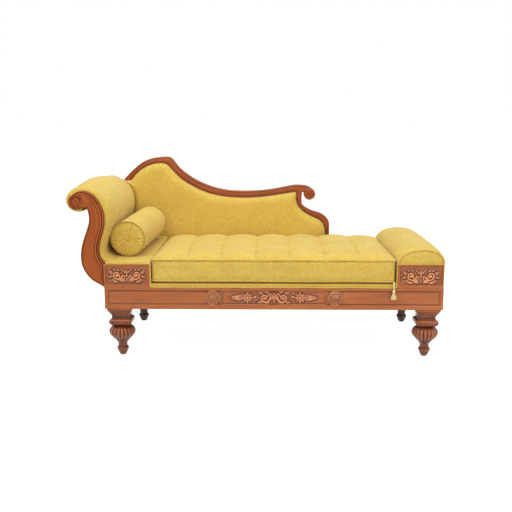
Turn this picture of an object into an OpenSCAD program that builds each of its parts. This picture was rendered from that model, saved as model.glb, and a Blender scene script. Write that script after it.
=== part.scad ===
// Fainting couch with a scrolled head end, a swept half back and a low foot roll.
// It has a panelled seat frame on turned legs, a loose seat cushion and a loose bolster.
// Workshop axes: x runs from the head end of the seat frame to its foot end,
// y from its front face to its rear face, and z up from the floor.

/* [Seat frame] */
// Length of the seat frame, end to end
seat_l = 1645; // [1400:5:1900]
// Depth of the seat frame, front face to rear face
seat_d = 741; // [690:1:800]
// Height of the underside of the rails above the floor
leg_h = 247; // [225:1:290]
// Height of the seat rails
rail_h = 106; // [96:1:130]
// Thickness of the seat rails
rail_t = 36; // [30:1:40]
// Height of the plain band along the top of a rail
rail_lip_h = 11; // [8:1:18]
// Height of the plain band along the bottom of a rail
rail_base_h = 21; // [16:1:28]
// Width of the plain band at each end of a rail
panel_end_w = 14; // [8:1:24]
// Depth of the sunk panel of a rail
panel_recess = 7; // [4:1:10]
// Length of the carving on the front rail
carving_l = 510; // [490:5:540]
// Gap between the carving and the roundels
roundel_gap = 13; // [8:1:20]
// Width of a cross bearer
bearer_w = 34; // [24:1:50]
// Height of a cross bearer
bearer_h = 55; // [40:1:70]
// Length of a corner brace along each rail
brace_l = 85; // [76:1:110]
// Diameter of the leg bolts
bolt_d = 10; // [8:1:12]
// Diameter of the brace screws
screw_d = 4; // [3:0.5:5]
// Width of a strap of the seat webbing
strap_w = 52; // [40:1:58]
// Straps that run from front to rear
cross_straps = 15; // [10:1:18]
// Straps that run from end to end
long_straps = 7; // [5:1:8]

/* [Legs] */
// Distance from a leg's axis to the end of the frame
leg_inset_x = 70; // [64:1:80]
// Distance from a leg's axis to the front or rear of the frame
leg_inset_y = 60; // [60:1:70]
// Width of the square flare under the rails
flare_w = 120; // [108:1:120]
// Width of the square neck
leg_neck_w = 84; // [74:1:92]
// Width of the square cushion moulding
torus_w = 116; // [104:1:120]
// Height of the flare
flare_h = 42; // [34:1:48]
// Height of the square neck
leg_neck_h = 15; // [10:1:20]
// Height of the square cushion moulding
torus_h = 35; // [28:1:40]
// Height of the gadrooned bulb
bulb_h = 96; // [80:1:104]
// Diameter of the gadrooned bulb over its lobes
bulb_d = 130; // [112:1:134]
// Lobes round the bulb
bulb_lobes = 16; // [12:1:20]
// Depth of the grooves between the lobes
lobe_depth = 5; // [3:0.5:7]
// Diameter of the ankle above the foot
ankle_d = 45; // [40:1:54]
// Diameter of the ball foot
ball_d = 58; // [50:1:66]
// Diameter of the flat under the foot
foot_pad_d = 28; // [24:1:40]

/* [Plinths] */
// Length of the head plinth
head_plinth_l = 223; // [200:1:250]
// Length of the foot plinth
foot_plinth_l = 223; // [200:1:250]
// Height of the plinths above the rails
plinth_h = 117; // [105:1:130]
// Thickness of the carved plinth boards
board_t = 24; // [20:1:28]
// Plain border round the carved field
field_border = 11; // [8:1:14]
// Depth of the carved field
field_recess = 5; // [3:1:8]

/* [Head scroll] */
// How far the wooden scroll reaches past the seat frame
scroll_reach = 157; // [140:1:170]
// How far the scroll leans back in over the seat
scroll_lean = 10; // [6:1:14]
// Height of the scroll above the rails
scroll_h = 470; // [440:1:500]
// Thickness of the scroll facings
facing_t = 24; // [20:1:28]
// Radius of the volute
volute_r = 38; // [34:1:40]
// Height of the beads on the wood
bead_h = 3; // [2:0.5:4]
// Thickness of the shaped boards inside the head
head_board_t = 22; // [18:1:26]
// Diameter of the roll rail inside the volute
roll_rail_d = 24; // [20:1:26]

/* [Back] */
// Distance from the head end of the frame to the outer edge of the return
back_l = 1147; // [1000:1:1250]
// Height of the crest above the rails
back_h = 601; // [560:1:640]
// Thickness of the crest rail
crest_t = 40; // [34:1:44]
// How far the front of the crest rail stands in from the rear face
back_inset = 46; // [46:1:52]
// Thickness of the posts and the lower rail
post_t = 20; // [16:1:22]
// Radius of the volute at the end of the crest
crest_volute_r = 33; // [28:1:35]

/* [Upholstery] */
// Thickness of a stretched cover
cover_t = 3; // [2:0.5:4]
// Depth of the stuffing on the inside of the head
head_pad_t = 24; // [20:1:26]
// How far the head upholstery stands out of the wood at its edge
head_edge = 8; // [6:1:10]
// How far it stands out at its fullest
head_crown = 38; // [24:1:42]
// How far the outside cover of the head stands out of the wood
outside_cover_t = 7; // [5:1:9]
// Thickness of the ledge pad at its front edge
ledge_t = 9; // [6:1:12]
// Rise of the ledge pad from its front to its rear
ledge_rise = 26; // [8:1:30]
// Height of the foot roll above its plinth, at its ends
foot_roll_h = 76; // [66:1:84]
// How much fuller the foot roll is between its ends
foot_crown = 13; // [5:1:15]
// Thickness of the seat deck
deck_t = 23; // [18:1:28]
// Fullness of the back pad in front of the crest
back_crown = 40; // [30:1:42]
// Diameter of the piping
piping_d = 7.5; // [6:0.5:9]

/* [Seat cushion] */
// Gap between the cushion and the head plinth
cushion_gap = 6; // [4:1:12]
// Gap between the cushion and the foot roll
cushion_slack = 9; // [8:1:20]
// Gap between the cushion and the back pad
cushion_rear_gap = 11; // [9:1:40]
// Height of the cushion's sides
cushion_t = 109; // [95:1:120]
// Crown of the cushion above its upper rim
cushion_crown = 40; // [20:1:46]
// How far the sides draw in between the rims
cushion_pull = 5; // [2:1:8]
// Columns of tufting
tuft_columns = 7; // [5:1:9]
// Rows of tufting
tuft_rows = 3; // [2:1:4]
// Depth of a tuft
tuft_depth = 9; // [5:1:12]

/* [Bolster] */
// Diameter of the bolster
bolster_d = 176; // [160:1:180]
// Length of the bolster
bolster_l = 495; // [440:1:510]
// Gap between the bolster and the head pad
bolster_head_gap = 3; // [2:0.5:12]
// Distance from the bolster's rear end to the back pad
bolster_rear_gap = 60; // [40:1:90]
// How far the rear end lies towards the seat
bolster_turn = 38; // [18:1:44]
// Pleats round each end
bolster_pleats = 24; // [16:2:28]
// Diameter of the covered buttons
button_d = 22; // [18:1:26]

/* [Tassel] */
// Width of the tassel's skirt
skirt_w = 27; // [22:1:32]
// Depth of the tassel from front to rear
tassel_depth = 16; // [14:1:20]
// Length of the tassel below its knot
tassel_l = 80; // [70:1:90]
// Diameter of the tassel's cord
tassel_cord_d = 10; // [8:1:11]

/* [Hidden] */

$fn = 48;
// Soft pieces lie this far from what they rest against
gap = 0.3;
// Cuts run past the faces that they open by this much
overrun = 2;
strap_t = 1.5;
dust_t = 1;
screw_head_d = 8;
hole_gap = 0.2;
bolt_depth = 40;
bolt_above = 58;

// Levels above the floor
rail_top = leg_h + rail_h;
plinth_top = rail_top + plinth_h;
deck_top = rail_top + deck_t;
cushion_z = deck_top + gap;
rim_top = cushion_z + cushion_t;

// Reaches past the front and the rear of the seat frame
tassel_y = -(tassel_depth / 2 + gap);
front_reach = tassel_depth + gap;
rear_reach = bulb_d / 2 - leg_inset_y;
centre_y = (seat_d + rear_reach - front_reach) / 2;
back_y = seat_d - back_inset;
pad_front_y = back_y - back_crown;

wood = [0.62, 0.29, 0.17];
fabric = [0.86, 0.70, 0.30];
inner_wood = [0.74, 0.60, 0.42];
steel = [0.55, 0.55, 0.57];
jute = [0.66, 0.55, 0.38];
cream = [0.90, 0.80, 0.55];

// Curves and outlines

function catmull(a, b, c, d, t) =
    (2 * b + (c - a) * t + (2 * a - 5 * b + 4 * c - d) * t * t + (3 * b - a - 3 * c + d) * t * t * t) / 2;
function smooth(p, n) = [
    for (i = [0:len(p) - 2], k = [0:n - 1])
        catmull(p[max(i - 1, 0)], p[i], p[i + 1], p[min(i + 2, len(p) - 1)], k / n),
    p[len(p) - 1]];
function reversed(p) = [for (i = [len(p) - 1:-1:0]) p[i]];
function flat(p) = [p[0], p[1]];
function unit(v) = v / norm(v);
// The tangent at a point of an open curve, or of a closed one
function tangent(p, i, closed = false) =
    let (n = len(p),
         a = closed ? p[(i + n - 1) % n] : p[max(i - 1, 0)],
         b = closed ? p[(i + 1) % n] : p[min(i + 1, n - 1)])
    unit(b - a);
// A curve moved sideways, to its right where the distance is above zero
function beside(p, d, closed = false) = [
    for (i = [0:len(p) - 1]) let (t = tangent([for (q = p) flat(q)], i, closed))
    flat(p[i]) + d * [t[1], -t[0]]];
function ribbon(p, outer, inner) = concat(beside(p, outer), reversed(beside(p, inner)));
function placed(shares, x, z, w, h) = [
    for (s = shares) concat([x + s[0] * w, z + s[1] * h], [for (k = [2:1:len(s) - 1]) s[k]])];
function arc(c, r, a0, a1, n) = [for (i = [0:n]) let (a = a0 + (a1 - a0) * i / n) c + r * [cos(a), sin(a)]];
function spiral(c, r0, r1, a0, a1, n) = [
    for (i = [0:n]) let (t = i / n, a = a0 + (a1 - a0) * t) c + (r0 + (r1 - r0) * t) * [cos(a), sin(a)]];
// A value read from rising pairs of place and value
function read(table, x) =
    x <= table[0][0] ? table[0][1]
    : x >= table[len(table) - 1][0] ? table[len(table) - 1][1]
    : let (i = [for (k = [0:len(table) - 2]) if (x >= table[k][0] && x < table[k + 1][0]) k][0])
      table[i][1] + (table[i + 1][1] - table[i][1]) * (x - table[i][0]) / (table[i + 1][0] - table[i][0]);

// Solids from outlines

// Places the workshop axes on the couch's reference point
module on_couch() {
    translate([-centre_x, -centre_y, 0]) children();
}
// Stands a drawing of x and z upright, from y0 to the rear by t
module upright(y0, t) {
    translate([0, y0 + t, 0]) rotate([90, 0, 0]) linear_extrude(t) children();
}
// Joins rings of equal count, seen anticlockwise from the side where they start.
// A ring that isn't convex lists one of its long sides and then the other, point for point.
module loft(rings, closed = false) {
    n = len(rings[0]);
    m = len(rings);
    sides = [
        for (i = [0:closed ? m - 1 : m - 2], j = [0:n - 1])
            let (a = i * n + j, b = i * n + (j + 1) % n, c = ((i + 1) % m) * n + (j + 1) % n,
            d = ((i + 1) % m) * n + j)
            each [[a, b, c], [a, c, d]]];
    // Each cap is a strip between the two halves of its ring
    e = (m - 1) * n;
    caps = closed ? [] : [
        for (j = [0:floor((n - 3) / 2)])
            each concat(
                [[j, n - 1 - j, j + 1], [e + j, e + j + 1, e + n - 1 - j]],
                j + 1 < n - 2 - j ? [[j + 1, n - 1 - j, n - 2 - j],
                    [e + j + 1, e + n - 2 - j, e + n - 1 - j]] : [])];
    polyhedron([for (r = rings) each r], concat(sides, caps), convexity = 10);
}
// A round cord along a path that lies in the plane square to up
module tube(path, up, r, sides, closed = false) {
    loft([
        for (i = [0:len(path) - 1])
            let (t = tangent(path, i, closed), side = cross(t, up))
            [for (k = [0:sides - 1])
                let (a = 360 * k / sides) path[i] + r * (cos(a) * side + sin(a) * up)]],
        closed);
}
module at_corners() {
    for (x = [0, 1], y = [0, 1]) {
        translate([x * seat_l, y * seat_d, 0]) mirror([x, 0, 0]) mirror([0, y, 0]) children();
    }
}

// Seat frame

rebate_h = 2 * strap_t;
rebate_w = rail_t / 2;
// A rail along x from the origin, its show face at y = 0
module panelled_rail(l, ends) {
    difference() {
        translate([0, 0, leg_h]) cube([l, rail_t, rail_h]);
        translate([ends, -overrun, leg_h + rail_base_h])
            cube([l - 2 * ends, panel_recess + overrun, rail_h - rail_base_h - rail_lip_h]);
        translate([-overrun, rail_t - rebate_w, rail_top - rebate_h])
            cube([l + 2 * overrun, rebate_w + overrun, rebate_h + overrun]);
    }
}
brace_h = rail_h - rail_lip_h - 2 * strap_t;
screw_l = brace_l / 2;
screw_z = leg_h + brace_h / 2;
screw_at = brace_l * 3 / 4;
screw_face = brace_l - screw_at;
// The screws of one corner, seen from the corner, with their heads in flats cut across the brace
module corner_screws(grow, head_h) {
    for (z = [screw_z - brace_h / 4, screw_z + brace_h / 4]) {
        translate([rail_t + screw_face - screw_l, rail_t + screw_at, z]) rotate([0, 90, 0]) {
            cylinder(h = screw_l, d = screw_d + grow);
            translate([0, 0, screw_l]) cylinder(h = head_h, d = screw_head_d + grow);
        }
        translate([rail_t + screw_at, rail_t + screw_face - screw_l, z]) rotate([-90, 0, 0]) {
            cylinder(h = screw_l, d = screw_d + grow);
            translate([0, 0, screw_l]) cylinder(h = head_h, d = screw_head_d + grow);
        }
    }
}
module all_screw_holes() {
    at_corners() corner_screws(hole_gap, screw_d);
}
module front_seat_rail() {
    color(wood) on_couch() difference() {
        panelled_rail(seat_l, panel_end_w);
        all_screw_holes();
    }
}
module rear_seat_rail() {
    color(wood) on_couch() difference() {
        translate([seat_l, seat_d, 0]) rotate([0, 0, 180]) panelled_rail(seat_l, panel_end_w);
        all_screw_holes();
    }
}
side_rail_l = seat_d - 2 * rail_t;
module head_seat_rail() {
    color(wood) on_couch() difference() {
        translate([0, seat_d - rail_t, 0]) rotate([0, 0, -90]) panelled_rail(side_rail_l, 0);
        all_screw_holes();
    }
}
module foot_seat_rail() {
    color(wood) on_couch() difference() {
        translate([seat_l, rail_t, 0]) rotate([0, 0, 90]) panelled_rail(side_rail_l, 0);
        all_screw_holes();
    }
}
bearer_places_shares = [0.34, 0.66];
module cross_bearers() {
    color(inner_wood) on_couch() for (s = bearer_places_shares) {
        translate([seat_l * s - bearer_w / 2, rail_t, rail_top - rebate_h - bearer_h])
            cube([bearer_w, side_rail_l, bearer_h]);
    }
}
module corner_braces() {
    color(inner_wood) on_couch() at_corners() difference() {
        translate([0, 0, leg_h]) linear_extrude(brace_h)
            polygon([[rail_t, rail_t], [rail_t + brace_l, rail_t], [rail_t, rail_t + brace_l]]);
        translate([leg_inset_x, leg_inset_y, leg_h - overrun])
            cylinder(h = brace_h + 2 * overrun, d = bolt_d + hole_gap);
        corner_screws(hole_gap, screw_head_d);
    }
}
module leg_bolts() {
    color(steel) on_couch() at_corners()
        translate([leg_inset_x, leg_inset_y, leg_h - bolt_depth])
            cylinder(h = bolt_depth + bolt_above, d = bolt_d);
}
module brace_screws() {
    color(steel) on_couch() at_corners() corner_screws(0, screw_d);
}
module webbing_cross_straps() {
    pitch = (seat_l - 2 * rail_t) / cross_straps;
    color(jute) on_couch() for (i = [0:cross_straps - 1]) {
        translate([rail_t + pitch * (i + 0.5) - strap_w / 2, rail_t - rebate_w, rail_top - rebate_h])
            cube([strap_w, side_rail_l + 2 * rebate_w, strap_t]);
    }
}
module webbing_long_straps() {
    pitch = side_rail_l / long_straps;
    color(jute) on_couch() for (i = [0:long_straps - 1]) {
        translate([rail_t - rebate_w, rail_t + pitch * (i + 0.5) - strap_w / 2, rail_top - strap_t])
            cube([seat_l - 2 * rail_t + 2 * rebate_w, strap_w, strap_t]);
    }
}
module dust_cover() {
    color("dimgray") on_couch() difference() {
        translate([rail_t / 3, rail_t / 3, leg_h - dust_t])
            cube([seat_l - 2 * rail_t / 3, seat_d - 2 * rail_t / 3, dust_t]);
        at_corners() translate([-overrun, -overrun, leg_h - dust_t - overrun])
            cube([leg_inset_x + flare_w / 2 + 2 * overrun, leg_inset_y + flare_w / 2 + 2 * overrun,
                dust_t + 2 * overrun]);
    }
}

// Legs

flare_z = leg_h - flare_h;
torus_z = flare_z - leg_neck_h - torus_h;
bulb_z = torus_z - bulb_h;
// Half widths and heights of the flare, the square neck and the cushion moulding
flare_shares = [[1, 1], [1, 0.72], [0.72, 0.5], [0.2, 0.22], [0, 0]];
torus_shares = [[0, 1], [0.35, 0.98], [0.62, 0.9], [0.92, 0.72], [1, 0.5], [0.92, 0.28], [0.5, 0.08],
    [0.1, 0]];
function leg_side() = concat(
    [for (s = flare_shares) [leg_neck_w / 2 + s[0] * (flare_w - leg_neck_w) / 2, flare_z + s[1] * flare_h]],
    [for (s = torus_shares) [leg_neck_w / 2 + s[0] * (torus_w - leg_neck_w) / 2,
    torus_z + s[1] * torus_h]]);
module leg_square() {
    side = leg_side();
    outline = concat(side, [for (p = reversed(side)) [-p[0], p[1]]]);
    intersection() {
        upright(-flare_w / 2, flare_w) polygon(outline);
        rotate([0, 0, 90]) upright(-flare_w / 2, flare_w) polygon(outline);
    }
}
// Height, radius and depth of the grooves, up the bulb
bulb_shares = [[0, 0.3, 0], [0.13, 0.46, 0.5], [0.32, 0.74, 1], [0.5, 0.96, 1], [0.64, 1, 1],
    [0.78, 0.93, 1], [0.9, 0.76, 0.8], [1.03, 0.6, 0.2]];
module leg_bulb() {
    around = bulb_lobes * 4;
    loft([
        for (s = bulb_shares) [
            for (k = [0:around - 1])
                let (a = -360 * k / around, groove = 1 - abs(cos(a * bulb_lobes / 2)),
                     r = bulb_d / 2 * s[1] - lobe_depth * s[2] * groove)
                [r * cos(a), r * sin(a), bulb_z + bulb_h * s[0]]]]);
}
// Radius as a share between the foot's flat and its ball, and height as a share of the foot's
foot_shares = [[0, 0], [0.07, 0.02], [0.23, 0.085], [0.43, 0.19], [0.63, 0.3], [0.8, 0.41], [0.95, 0.525],
    [1, 0.59], [0.97, 0.65], [0.88, 0.7], [0.73, 0.74]];
module leg_foot() {
    r0 = foot_pad_d / 2;
    ball = [for (s = foot_shares) [r0 + s[0] * (ball_d / 2 - r0), s[1] * bulb_z]];
    ankle_top = bulb_z + bulb_h * 0.09;
    rotate_extrude()
        polygon(concat([[0, 0]], ball, [[ankle_d / 2, bulb_z * 0.77], [ankle_d / 2, ankle_top],
            [0, ankle_top]]));
}
module leg() {
    color(wood) difference() {
        union() {
            leg_square();
            leg_bulb();
            leg_foot();
        }
        translate([0, 0, leg_h - bolt_depth - overrun])
            cylinder(h = bolt_depth + 2 * overrun, d = bolt_d + hole_gap);
    }
}
module leg_front_head() {
    on_couch() translate([leg_inset_x, leg_inset_y, 0]) leg();
}
module leg_front_foot() {
    on_couch() translate([seat_l - leg_inset_x, leg_inset_y, 0]) leg();
}
module leg_rear_head() {
    on_couch() translate([leg_inset_x, seat_d - leg_inset_y, 0]) leg();
}
module leg_rear_foot() {
    on_couch() translate([seat_l - leg_inset_x, seat_d - leg_inset_y, 0]) leg();
}

// Plinths at the two ends of the seat

foot_x = seat_l - foot_plinth_l;
base_mould_h = field_border / 2;
module carved_board(x, l, y, sink) {
    difference() {
        translate([x, y, rail_top]) cube([l, board_t, plinth_h]);
        if (sink) {
            translate([x + field_border, y - overrun, rail_top + field_border])
                cube([l - 2 * field_border, field_recess + overrun, plinth_h - 2 * field_border]);
        }
        translate([x - overrun, y - overrun, rail_top + base_mould_h])
            cube([l + 2 * overrun, bead_h / 2 + overrun, bead_h / 2]);
    }
}
head_board_l = head_plinth_l - gap;
foot_board_x = foot_x + gap;
foot_board_l = foot_plinth_l - gap - cover_t;
module head_plinth_front() {
    color(wood) on_couch() carved_board(0, head_board_l, 0, true);
}
module foot_plinth_front() {
    color(wood) on_couch() carved_board(foot_board_x, foot_board_l, 0, true);
}
module head_plinth_rear() {
    color(wood) on_couch() translate([0, seat_d - board_t, rail_top])
        cube([head_board_l, board_t, plinth_h]);
}
module foot_plinth_rear() {
    color(wood) on_couch() translate([foot_board_x, seat_d - board_t, rail_top])
        cube([foot_board_l, board_t, plinth_h]);
}
inner_d = seat_d - 2 * board_t;
side_board_t = board_t * 5 / 6;
top_board_t = board_t / 2;
module plinth_sides(x, l) {
    color(inner_wood) on_couch() for (sx = [x, x + l - side_board_t]) {
        translate([sx, board_t, rail_top]) cube([side_board_t, inner_d, plinth_h]);
    }
}
module head_plinth_sides() {
    plinth_sides(0, head_board_l);
}
module foot_plinth_sides() {
    plinth_sides(foot_board_x, foot_board_l);
}
module head_plinth_top() {
    color(inner_wood) on_couch() translate([side_board_t, board_t, plinth_top - top_board_t])
        cube([head_board_l - 2 * side_board_t, inner_d, top_board_t]);
}

// Scrolled head end

scroll_w = scroll_reach + scroll_lean;
// Inner edge of the scroll, from the plinth up to the volute: across, up, and fullness of the stuffing
scroll_inner_shares = [
    [0.97, 0, 0.3], [0.886, 0.06, 0.3], [0.832, 0.128, 0.32], [0.82, 0.216, 0.36], [0.862, 0.312, 0.42],
    [0.922, 0.405, 0.52], [0.982, 0.502, 0.68], [1, 0.586, 0.85], [0.994, 0.68, 1],
    [0.952, 0.764, 1.08], [0.862, 0.855, 1.05], [0.737, 0.929, 1], [0.581, 0.98, 1.1], [0.413, 1, 1.2],
    [0.251, 0.985, 1.25]];
// Outer edge of the scroll, from the volute down to the rail
scroll_outer_shares = [
    [0.431, 0.948], [0.497, 0.931], [0.545, 0.895], [0.569, 0.83], [0.563, 0.764], [0.479, 0.656],
    [0.395, 0.567], [0.317, 0.46], [0.293, 0.363], [0.311, 0.273], [0.401, 0.182], [0.587, 0.091],
    [0.772, 0.045], [0.94, 0.006]];
volute_x = -scroll_reach + volute_r;
volute_z = rail_top + scroll_h - volute_r * 1.373;
function with_share(p, s) = [for (q = p) [q[0], q[1], s]];
// The volute turns from its upper left, down and round to its underside
function volute_turn(a1, n) = [
    for (i = [0:n]) let (t = i / n, a = 132 + (a1 - 132) * t)
        [volute_x + volute_r * cos(a), volute_z + volute_r * sin(a),
        1.25 - 0.9 * min(t * 1.4, 1)]];
function scroll_inner() =
    placed(scroll_inner_shares, -scroll_reach, plinth_top, scroll_w, scroll_h - plinth_h);
function scroll_outer() =
    smooth(placed(scroll_outer_shares, -scroll_reach, rail_top, scroll_w, volute_z - rail_top), 3);
function pad_path() = concat(smooth(scroll_inner(), 3), volute_turn(300, 7));
function full_inner() = concat(smooth(scroll_inner(), 3), volute_turn(322, 10));
function scroll_outline() = concat(
    [[0, rail_top], [0, plinth_top]],
    [for (p = full_inner()) flat(p)],
    scroll_outer());
module scroll_facing(y, beads_y) {
    upright(y, facing_t - bead_h) polygon(scroll_outline());
    upright(beads_y, bead_h) {
        difference() {
            union() {
                polygon(ribbon(full_inner(), -1 * bead_h / 3, -2.7 * bead_h));
                polygon(ribbon(full_inner(), -3.6 * bead_h, -5 * bead_h));
                polygon(ribbon(scroll_outer(), -1 * bead_h / 3, -2 * bead_h));
                polygon(ribbon(scroll_outer(), -2.8 * bead_h, -4 * bead_h));
            }
            // Clear of the plinth beside it
            translate([0, rail_top]) square([head_plinth_l, plinth_h]);
        }
        translate([-scroll_lean, rail_top + bead_h]) square([bead_h, plinth_h - bead_h]);
    }
}
eye_turn = 500;
module volute_eye(c, r, y, t, turn) {
    upright(y, t) {
        polygon(ribbon(spiral(c, r * 0.62, r * 0.2, turn, turn + eye_turn, 30), r * 0.07, -r * 0.07));
        translate(c) circle(r * 0.17);
    }
}
module front_scroll_facing() {
    color(wood) on_couch() {
        scroll_facing(bead_h, 0);
        volute_eye([volute_x, volute_z], volute_r, 0, bead_h, 60);
    }
}
module rear_scroll_facing() {
    color(wood) on_couch() scroll_facing(seat_d - facing_t, seat_d - bead_h);
}
function head_core() = concat(
    [[0, rail_top + 2 * outside_cover_t], [0, plinth_top - head_pad_t / 2]],
    [for (p = beside(pad_path(), -head_pad_t)) [min(p[0], -gap), p[1]]],
    [for (p = beside(scroll_outer(), -outside_cover_t)) if (p[0] < -gap) p]);
module head_frame_boards() {
    color(inner_wood) on_couch() difference() {
        for (y = [facing_t, seat_d - facing_t - head_board_t]) {
            upright(y, head_board_t) polygon(head_core());
        }
        translate([volute_x, 0, volute_z]) rotate([-90, 0, 0])
            cylinder(h = seat_d, d = roll_rail_d + hole_gap);
    }
}
// Middles of the stretchers inside the head
stretcher_shares = [[0.60, 0.53], [0.72, 0.15]];
stretcher_w = 30;
module head_frame_rails() {
    d = seat_d - 2 * facing_t - 2 * head_board_t;
    color(inner_wood) on_couch() {
        translate([volute_x, facing_t, volute_z]) rotate([-90, 0, 0])
            cylinder(h = seat_d - 2 * facing_t, d = roll_rail_d);
        for (s = stretcher_shares) {
            translate([-scroll_reach + s[0] * scroll_w - stretcher_w / 2, facing_t + head_board_t,
                rail_top + s[1] * scroll_h - stretcher_w / 2])
                cube([stretcher_w, d, stretcher_w]);
        }
    }
}
// Fullness of the head upholstery from front to rear
head_fill_shares = [[0, 0], [0.015, 0.34], [0.05, 0.6], [0.13, 0.84], [0.28, 1], [0.5, 1], [0.8, 0.84],
    [0.93, 0.78], [0.975, 0.55], [1, 0]];
head_pad_d = seat_d - 2 * facing_t;
// Rise of the ledge from front to rear, at the places of the head's fullness
ledge_rise_shares = [[0, 0.1], [0.015, 0.12], [0.05, 0.18], [0.13, 0.32], [0.28, 0.56], [0.5, 0.8],
    [0.8, 0.96], [0.93, 1], [0.975, 1], [1, 1]];
function ledge_top(y) = plinth_top + ledge_t
    + ledge_rise * read(ledge_rise_shares, (y - facing_t) / head_pad_d);
function above_ledge(p) = [for (q = p) if (q[1] > plinth_top + ledge_t + ledge_rise + head_pad_t) q];
function head_ring(y, fill) =
    let (path = above_ledge(pad_path()), n = len(path), floor_z = ledge_top(y) + gap,
         outer = [for (i = [0:n - 1])
            let (t = tangent([for (q = path) flat(q)], i),
            d = head_edge + (head_crown - head_edge) * fill * path[i][2])
            flat(path[i]) + d * [t[1], -t[0]]],
         inner = beside(path, -head_pad_t + gap),
         spread = (outer[0][1] - floor_z) / 2)
    [for (p = concat([[outer[0][0] + spread, floor_z]], outer, reversed(inner),
    [[inner[0][0] + spread, floor_z]])) [p[0], y, p[1]]];
// Reach of its fullest ring past the seat frame
head_reach = -min([for (p = head_ring(seat_d / 2, 1)) p[0]]);
module head_upholstery() {
    color(fabric) on_couch() loft([for (s = head_fill_shares) head_ring(facing_t + head_pad_d * s[0],
        s[1])]);
}
module head_outside_cover() {
    path = [for (i = [3:len(scroll_outer()) - 1]) scroll_outer()[i]];
    color(fabric) on_couch() upright(facing_t, head_pad_d) polygon([
        for (p = ribbon(path, outside_cover_t, -outside_cover_t + gap)) [min(p[0], -gap), p[1]]]);
}
ledge_edge = 8;
// The ledge lies under the head upholstery, but beside the facings at its ends
function ledge_ring(y, drop, x0) =
    let (top = ledge_top(y) - drop, x1 = head_plinth_l + cover_t)
    [for (p = [[x0, plinth_top + gap], [head_plinth_l, plinth_top + gap], [head_plinth_l, rail_top + gap],
    [x1, rail_top + gap],
        [x1, top - ledge_edge], [x1 - ledge_edge / 4, top - ledge_edge / 4], [x1 - ledge_edge, top],
        [x0, top]]) [p[0], y, p[1]]];
module ledge_upholstery() {
    x_wide = -scroll_lean;
    x_tight = scroll_lean;
    edge = ledge_t / 2;
    color(fabric) on_couch() loft(concat(
        [ledge_ring(0, edge, x_tight), ledge_ring(edge / 3, edge / 3, x_tight),
            ledge_ring(edge, 0, x_tight), ledge_ring(facing_t, 0, x_tight),
            ledge_ring(facing_t + gap, 0, x_wide)],
        [for (s = ledge_rise_shares)
            if (s[0] > 0 && s[0] < 1) ledge_ring(facing_t + head_pad_d * s[0], 0, x_wide)],
        [ledge_ring(seat_d - facing_t - gap, 0, x_wide), ledge_ring(seat_d - facing_t, 0, x_tight),
            ledge_ring(seat_d - edge, 0, x_tight), ledge_ring(seat_d, edge, x_tight)]));
}

// Foot roll: across, up, fullness, and thickness of the cover as a share of the deck's
roll_w = foot_plinth_l + cover_t;
roll_shares = [[1, 0.03, 0, 0], [1, 0.26, 0.3, 0.15], [0.955, 0.56, 0.8, 0.6], [0.84, 0.82, 1, 1],
    [0.69, 0.965, 1, 1],
    [0.53, 1, 1, 1], [0.37, 0.965, 1, 1], [0.21, 0.82, 1, 1], [0.075, 0.56, 0.8, 0.6],
    [0.006, 0.26, 0.3, 0.15], [0, 0.03, 0, 0]];
roll_cover_t = deck_t / 2;
function roll_arch() = smooth(placed(roll_shares, foot_x - cover_t, plinth_top, roll_w, foot_roll_h), 3);
function roll_ring(y, fill) =
    let (arch = roll_arch(), n = len(arch), x0 = foot_x - cover_t)
    [for (p = concat(
        [[seat_l, rail_top + gap]],
        [for (i = [0:n - 1])
            let (t = tangent([for (q = arch) flat(q)], i))
            flat(arch[i]) + foot_crown * fill * arch[i][2] * [t[1], -t[0]]],
        [[x0, rail_top + gap], [x0 + cover_t - gap, rail_top + gap]],
        [for (i = [n - 1:-1:0])
            let (t = tangent([for (q = arch) flat(q)], i),
            d = cover_t - gap + (roll_cover_t - cover_t) * arch[i][3])
            flat(arch[i]) - d * [t[1], -t[0]]],
        [[seat_l - cover_t + gap, rail_top + gap]])) [p[0], y, p[1]]];
roll_start = piping_d * 0.7;
roll_fill_shares = [[0, 0], [0.03, 0.35], [0.1, 0.75], [0.3, 1], [0.7, 1], [0.9, 0.75], [0.97, 0.35],
    [1, 0]];
// Reach of the roll's fullest ring past the seat frame, which with the head's reach centres the couch
foot_reach = max([for (p = roll_ring(seat_d / 2, 1)) p[0]]) - seat_l;
centre_x = (seat_l + foot_reach - head_reach) / 2;
module foot_roll_upholstery() {
    l = seat_d - 2 * roll_start;
    color(fabric) on_couch() loft([for (s = roll_fill_shares) roll_ring(roll_start + l * s[0], s[1])]);
}
function roll_inside(d) = concat(
    [[seat_l - cover_t - d, plinth_top + gap]],
    [for (p = beside(roll_arch(), -d)) [min(max(p[0], foot_x + d), seat_l - cover_t - d),
    max(p[1], plinth_top + 2 * gap)]],
    [[foot_x + d, plinth_top + gap]]);
module foot_roll_core() {
    color("khaki") on_couch() upright(roll_start, seat_d - 2 * roll_start)
        polygon(roll_inside(roll_cover_t + gap));
}
panel_gap = piping_d + gap;
module foot_roll_end_panels() {
    edge = panel_gap + piping_d / 4;
    outline = [for (p = roll_inside(edge)) [p[0], max(p[1], plinth_top + panel_gap)]];
    color(fabric) on_couch() for (y = [gap, seat_d - roll_start + gap]) {
        upright(y, roll_start - 2 * gap) polygon(outline);
    }
}
module foot_roll_piping() {
    r = piping_d / 2;
    rim = [for (p = beside(roll_arch(), -r)) [p[0], max(p[1], plinth_top + r + gap)]];
    color(fabric) on_couch() for (y = [roll_start - r - gap, seat_d - roll_start + r + gap]) {
        tube([for (p = rim) [p[0], y, p[1]]], [0, 1, 0], r, 6, true);
    }
}

// Half back

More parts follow.
